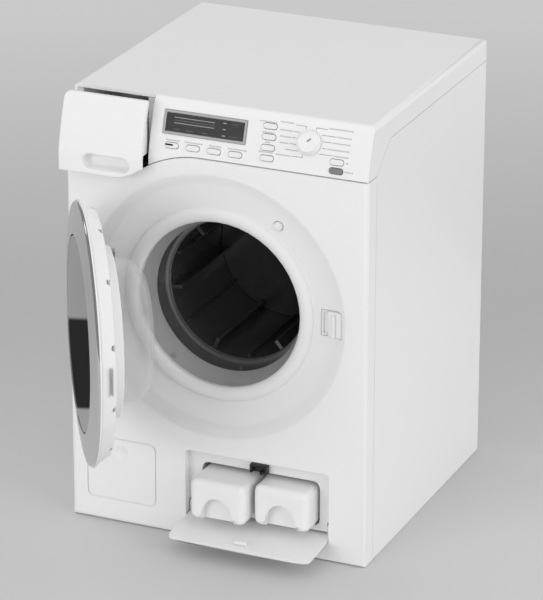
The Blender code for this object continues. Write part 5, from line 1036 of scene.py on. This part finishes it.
class WASHER_OT_dial(Undone, bpy.types.Operator):
    """The programme dial with its pointer mark"""

    bl_idname = "washer.dial"
    bl_label = "Dial"

    def execute(self, context):
        edge, low, top, radius, upper = sizes().dial_edge, 0.0003, 0.0044, 0.0070, 0.0054
        shaft, snap, snap_low, snap_top, end = 0.0025, 0.0039, -0.0039, -0.0025, -0.0065
        profile = [
            (0, top - 0.00014), (upper * 0.5, top - 0.00010), (upper - 1.5 * edge, top),
            *bow((upper - edge, top - edge), edge, 90, 15, 6),
            (radius - 0.00015, low + 0.0006), (radius, low + 0.0004), (radius, low + 0.0001),
            (radius - 0.0001, low), (shaft, low), (shaft, snap_top), (snap, snap_top),
            (snap, snap_low), (shaft, snap_low), (shaft, end), (0, end),
        ]
        knob, place = turned(profile, steps=96), on_face(DIAL_X, DIAL_Z)
        piece(knob, "program_dial_knob", "dial", "white", ("program_dial",), place, sharp=40)
        mark = slab(oval(0.0029, 0.0008, 6), top - 0.0004, top + 0.00003)
        turn = Matrix.Rotation(math.radians(42), 4, "Z")
        moved(mark, Matrix.Translation((0.0013, 0.0017, 0)) @ turn)
        piece(mark, "program_dial_mark", "dial", "ink", (), place)
        return {"FINISHED"}


# Printed lines round the dial and by the keys, in millimetres along the control face from the
# dial's centre: runs of (across, up) points for the lines, and (left, right, up) for the faint
# dashes that stand where labels would be
DIAL_LINES = (
    ((-9.25, 8.75), (-3.1, 8.75), (-3.1, 7.3)), ((-9.9, 5.0), (-6.5, 5.0)),
    ((-10.6, 1.65), (-7.9, 1.65)), ((-11.6, -1.9), (-7.9, -1.9)), ((-13.8, -5.4), (-6.3, -5.4)),
    ((-9.6, -8.6), (-3.2, -8.6), (-3.2, -7.4)), ((3.1, 7.4), (3.1, 8.7), (9.7, 8.7)),
    ((6.8, 5.2), (15.0, 5.2)), ((7.7, 1.7), (12.9, 1.7)), ((8.1, -2.0), (10.3, -2.0)),
    ((6.6, -5.3), (14.6, -5.3)), ((-65.4, 0.6), (-65.4, -0.1), (-58.7, -0.1)),
    ((-52.6, -0.1), (-45.8, -0.1), (-45.8, 0.6)),
)
LABELS = (
    (-18.6, -10.4, 9.4), (-18.2, -10.6, 5.0), (-18.0, -11.2, 1.5), (-17.8, -12.2, -2.0),
    (-19.2, -10.2, -8.8), (10.4, 25.2, 9.4), (15.6, 24.6, 5.2), (13.5, 24.4, 1.7),
    (10.9, 24.2, -2.0), (15.2, 24.0, -5.3), (-30.8, -20.6, 8.4), (-28.8, -21.2, 2.4),
    (-26.4, -23.2, -3.0), (-29.6, -20.8, -8.6), (-86.0, -77.4, -9.6), (-74.6, -63.4, -9.6),
    (-59.6, -51.8, -9.6), (-48.2, -36.4, -9.6), (22.6, 24.4, -8.4), (22.4, 27.8, -13.2),
)
# A label's dashes: their pitch, the inked share of it, and their weight against a line's
LABEL_DASH = 0.0013
DASH_SHARE = 0.80
LABEL_WEIGHT = 2.6
# Pale bars on the display pane: name, finish, and for each bar its x, its height from the pane's
# middle, its width and its thickness, in millimetres
DISPLAY_Z = 0.2511
BARS = (
    ("display_bars_bright", "segments", (
        (-14.6, 2.9, 24.6, 0.36), (-14.6, -0.2, 24.6, 0.36),
        (3.8, 3.4, 1.9, 0.50), (3.8, -0.1, 1.9, 0.50), (3.8, -3.7, 1.9, 0.50),
    )),
    ("display_bars_faint", "faint_segments", (
        (-14.6, 1.3, 24.6, 0.26), (-25.0, -3.8, 3.6, 0.34), (-17.0, -3.8, 4.4, 0.34),
        (-7.6, -3.8, 3.2, 0.34), (9.6, 3.4, 4.6, 0.26), (9.6, -3.7, 4.6, 0.26),
    )),
)
BAR_RISE = (0.00005, 0.00018)


def strokes(lines, width, dash=None):
    """Thin printed strokes along runs of points, cut into dashes where asked."""
    rise, thin = sizes().print_rise, width / 2
    parts = []
    for run in lines:
        for (x0, z0), (x1, z1) in zip(run, run[1:]):
            length = max(abs(x1 - x0), abs(z1 - z0)) / 1000
            count = max(1, round(length / dash)) if dash else 1
            half = length / count / 2 * DASH_SHARE if dash else length / 2 + thin
            u, v = (half, thin) if abs(x1 - x0) >= abs(z1 - z0) else (thin, half)
            for index in range(count):
                share = (index + 0.5) / count
                across = DIAL_X + (x0 + (x1 - x0) * share) / 1000
                above = up_face(DIAL_Z, (z0 + (z1 - z0) * share) / 1000)
                stroke = block((-u, u), (-v, v), (-rise * 2, rise))
                parts.append(moved(stroke, on_face(across, above)))
    return gathered(parts)


class WASHER_OT_prints(Undone, bpy.types.Operator):
    """Plain printed lines on the control face and the pale bars of the display"""

    bl_idname = "washer.prints"
    bl_label = "Printed lines"

    def execute(self, context):
        width = sizes().line_width
        piece(strokes(DIAL_LINES, width), "dial_lines", "cabinet", "ink")
        runs = [((left, up), (right, up)) for left, right, up in LABELS]
        labels = strokes(runs, width * LABEL_WEIGHT, LABEL_DASH)
        piece(labels, "label_lines", "cabinet", "faint_ink")
        for name, finish, bars in BARS:
            parts = []
            for x, up, length, height in bars:
                u, v = length / 2000, height / 2000
                place = on_face(x / 1000, DISPLAY_Z) @ Matrix.Translation((0, up / 1000, 0))
                parts.append(moved(block((-u, u), (-v, v), BAR_RISE), place))
            piece(gathered(parts), name, "cabinet", finish)
        return {"FINISHED"}


# Lamps: name, place, height aimed at, size, watts, and whether glossy surfaces mirror it
LAMPS = (
    ("key_light", (-1.2, -3.2, 0.55), 0.12, 2.0, 31.0, False),
    ("side_light", (3.0, -0.8, 0.80), 0.12, 2.0, 26.0, False),
    ("left_light", (-2.30, 0.62, 1.95), 0.15, 0.6, 3.0, True),
)
# A patch of the floor that is dark only to glossy rays, a painted reflection in the open door: its near and far
# soft edges, its side, and its painted tone
PATCH_NEAR = (0.184, 0.190)
PATCH_FAR = (0.334, 0.342)
PATCH_SIDE = -0.170
PAINTED_REFLECTION_TONE = (0.012, 0.012, 0.012)
# The surround's brightness as it is seen, and as glossy surfaces mirror it
SKY = 0.86
SKY_MIRRORED = 0.26
# The photograph's view: place, azimuth, elevation and roll in degrees, and lens
CAMERA_PLACE = (0.8202, -1.8877, 0.9419)
CAMERA_TURNS = (23.6134, 21.8437, 0.0567)
CAMERA_LENS = 225.92


class WASHER_OT_stage(Undone, bpy.types.Operator):
    """The pale floor, the soft studio light and the camera"""

    bl_idname = "washer.stage"
    bl_label = "Stage"

    def execute(self, context):
        scene = context.scene
        scene.view_settings.view_transform = "Standard"
        self.floor()
        self.sky(scene)
        for lamp in LAMPS:
            self.lamp(scene, *lamp)
        self.camera(scene)
        return {"FINISHED"}

    def lamp(self, scene, name, place, height, size, watts, mirrored):
        """A square soft light aimed at the machine."""
        data = bpy.data.lights.new(name, "AREA")
        data.shape = "SQUARE"
        data.size = size
        data.energy = watts
        item = bpy.data.objects.new(name, data)
        scene.collection.objects.link(item)
        item.visible_glossy = mirrored
        item.location = place
        aim = Vector((0, 0, height)) - Vector(place)
        item.rotation_euler = aim.to_track_quat("-Z", "Y").to_euler()

    def floor(self):
        """A wide floor with painted light and shade, darker in a band where the machine stands, pale to the
        camera, with a patch that is dark only in reflections: a painted reflection in the open door.
        """
        bm = bmesh.new()
        bmesh.ops.create_circle(bm, cap_ends=True, radius=6.0, segments=96)
        bmesh.ops.translate(bm, vec=(0, 0, -0.0002), verts=bm.verts)
        mesh = bpy.data.meshes.new("floor")
        bm.to_mesh(mesh)
        bm.free()
        mesh.materials.append(self.paper())
        item = bpy.data.objects.new("floor", mesh)
        bpy.context.scene.collection.objects.link(item)

    def paper(self):
        """The floor's finish, with painted light and shade and a painted reflection."""
        made = Finish("floor_paper")
        x, y = made.axis(0), made.axis(1)
        cloud = made.noise(1.6, 3.0, 0.5)
        fibre = made.noise(900.0, 3.0, 0.6)
        away = y * 0.916 - x * 0.4
        # Painted light and shade: the floor darker in a band where the machine stands, lighter towards the camera
        # and far behind it.
        painted_floor_light = 0.72 + away.eased(0.25, 1.2) * 0.35 + (1 - away.eased(-0.35, 0.35)) * 0.42
        share = painted_floor_light * (0.98 + cloud * 0.03 + fibre * 0.01)
        tone = made.mix((0, 0, 0), shade(colours().floor, 1.3), share)
        mirrored = made.node("ShaderNodeLightPath", output="Is Glossy Ray")
        beyond = (x + 0.11) * -0.677 + (y + 0.15) * 0.736
        aside = x * 0.784 + y * 0.62
        painted_reflection_patch = beyond.eased(*PATCH_NEAR) * (1 - beyond.eased(*PATCH_FAR))
        # Painted reflection: glossy rays see the patch almost black, the camera sees the pale floor.
        seen = made.mix(tone, PAINTED_REFLECTION_TONE, mirrored * painted_reflection_patch * aside.above(PATCH_SIDE))
        bump = made.relief(fibre, 0.00001)
        return made.give(Base_Color=seen, Roughness=0.75 + fibre * 0.1, Normal=bump)

    def sky(self, scene):
        """An even studio surround, darker in what the glossy surfaces mirror."""
        world = bpy.data.worlds.new("studio")
        world.use_nodes = True
        tree = world.node_tree
        path = tree.nodes.new("ShaderNodeLightPath")
        mixed = tree.nodes.new("ShaderNodeMix")
        mixed.data_type = "RGBA"
        mixed.inputs[6].default_value = (SKY, SKY, SKY, 1)
        mixed.inputs[7].default_value = (SKY_MIRRORED, SKY_MIRRORED, SKY_MIRRORED, 1)
        tree.links.new(path.outputs["Is Glossy Ray"], mixed.inputs[0])
        tree.links.new(mixed.outputs[2], tree.nodes["Background"].inputs["Color"])
        scene.world = world

    def camera(self, scene):
        """The photograph's view: from the right and above, through a long lens."""
        azimuth, elevation, roll = (math.radians(turn) for turn in CAMERA_TURNS)
        data = bpy.data.cameras.new("camera")
        data.lens = CAMERA_LENS
        data.sensor_width = 36.0
        data.clip_end = 20.0
        item = bpy.data.objects.new("camera", data)
        scene.collection.objects.link(item)
        turns = [(azimuth, "Z"), (math.pi / 2 - elevation, "X"), (roll, "Z")]
        view = Matrix.Translation(CAMERA_PLACE)
        for turn, axis in turns:
            view = view @ Matrix.Rotation(turn, 4, axis)
        item.matrix_world = view
        scene.camera = item


class WASHER_PT_panel(bpy.types.Panel):
    """The sizes, the colours and one button for each group of pieces"""

    bl_label = "Toy washing machine"
    bl_idname = "WASHER_PT_panel"
    bl_space_type = "VIEW_3D"
    bl_region_type = "UI"
    bl_category = "Washer"

    def draw(self, context):
        layout = self.layout
        for group in (context.scene.washer_sizes, context.scene.washer_colours):
            box = layout.box()
            for name in group.bl_rna.properties.keys():
                if name not in ("rna_type", "name"):
                    box.prop(group, name)
        for operator in OPERATORS:
            layout.operator(operator.bl_idname)


OPERATORS = (
    WASHER_OT_finishes,
    WASHER_OT_shell,
    WASHER_OT_drum,
    WASHER_OT_door,
    WASHER_OT_drawer,
    WASHER_OT_dosing,
    WASHER_OT_keys,
    WASHER_OT_dial,
    WASHER_OT_prints,
    WASHER_OT_stage,
)
CLASSES = (WasherSizes, WasherColours, *OPERATORS, WASHER_PT_panel)


def register():
    for item in CLASSES:
        bpy.utils.register_class(item)
    bpy.types.Scene.washer_sizes = PointerProperty(type=WasherSizes)
    bpy.types.Scene.washer_colours = PointerProperty(type=WasherColours)


def unregister():
    del bpy.types.Scene.washer_sizes
    del bpy.types.Scene.washer_colours
    for item in reversed(CLASSES):
        bpy.utils.unregister_class(item)


def main():
    register()
    make_finishes()
    bpy.ops.washer.finishes()
    bpy.ops.washer.shell()
    bpy.ops.washer.drum()
    bpy.ops.washer.door()
    bpy.ops.washer.drawer()
    bpy.ops.washer.dosing()
    bpy.ops.washer.keys()
    bpy.ops.washer.dial()
    bpy.ops.washer.prints()
    bpy.ops.washer.stage()


if __name__ == "__main__":
    main()
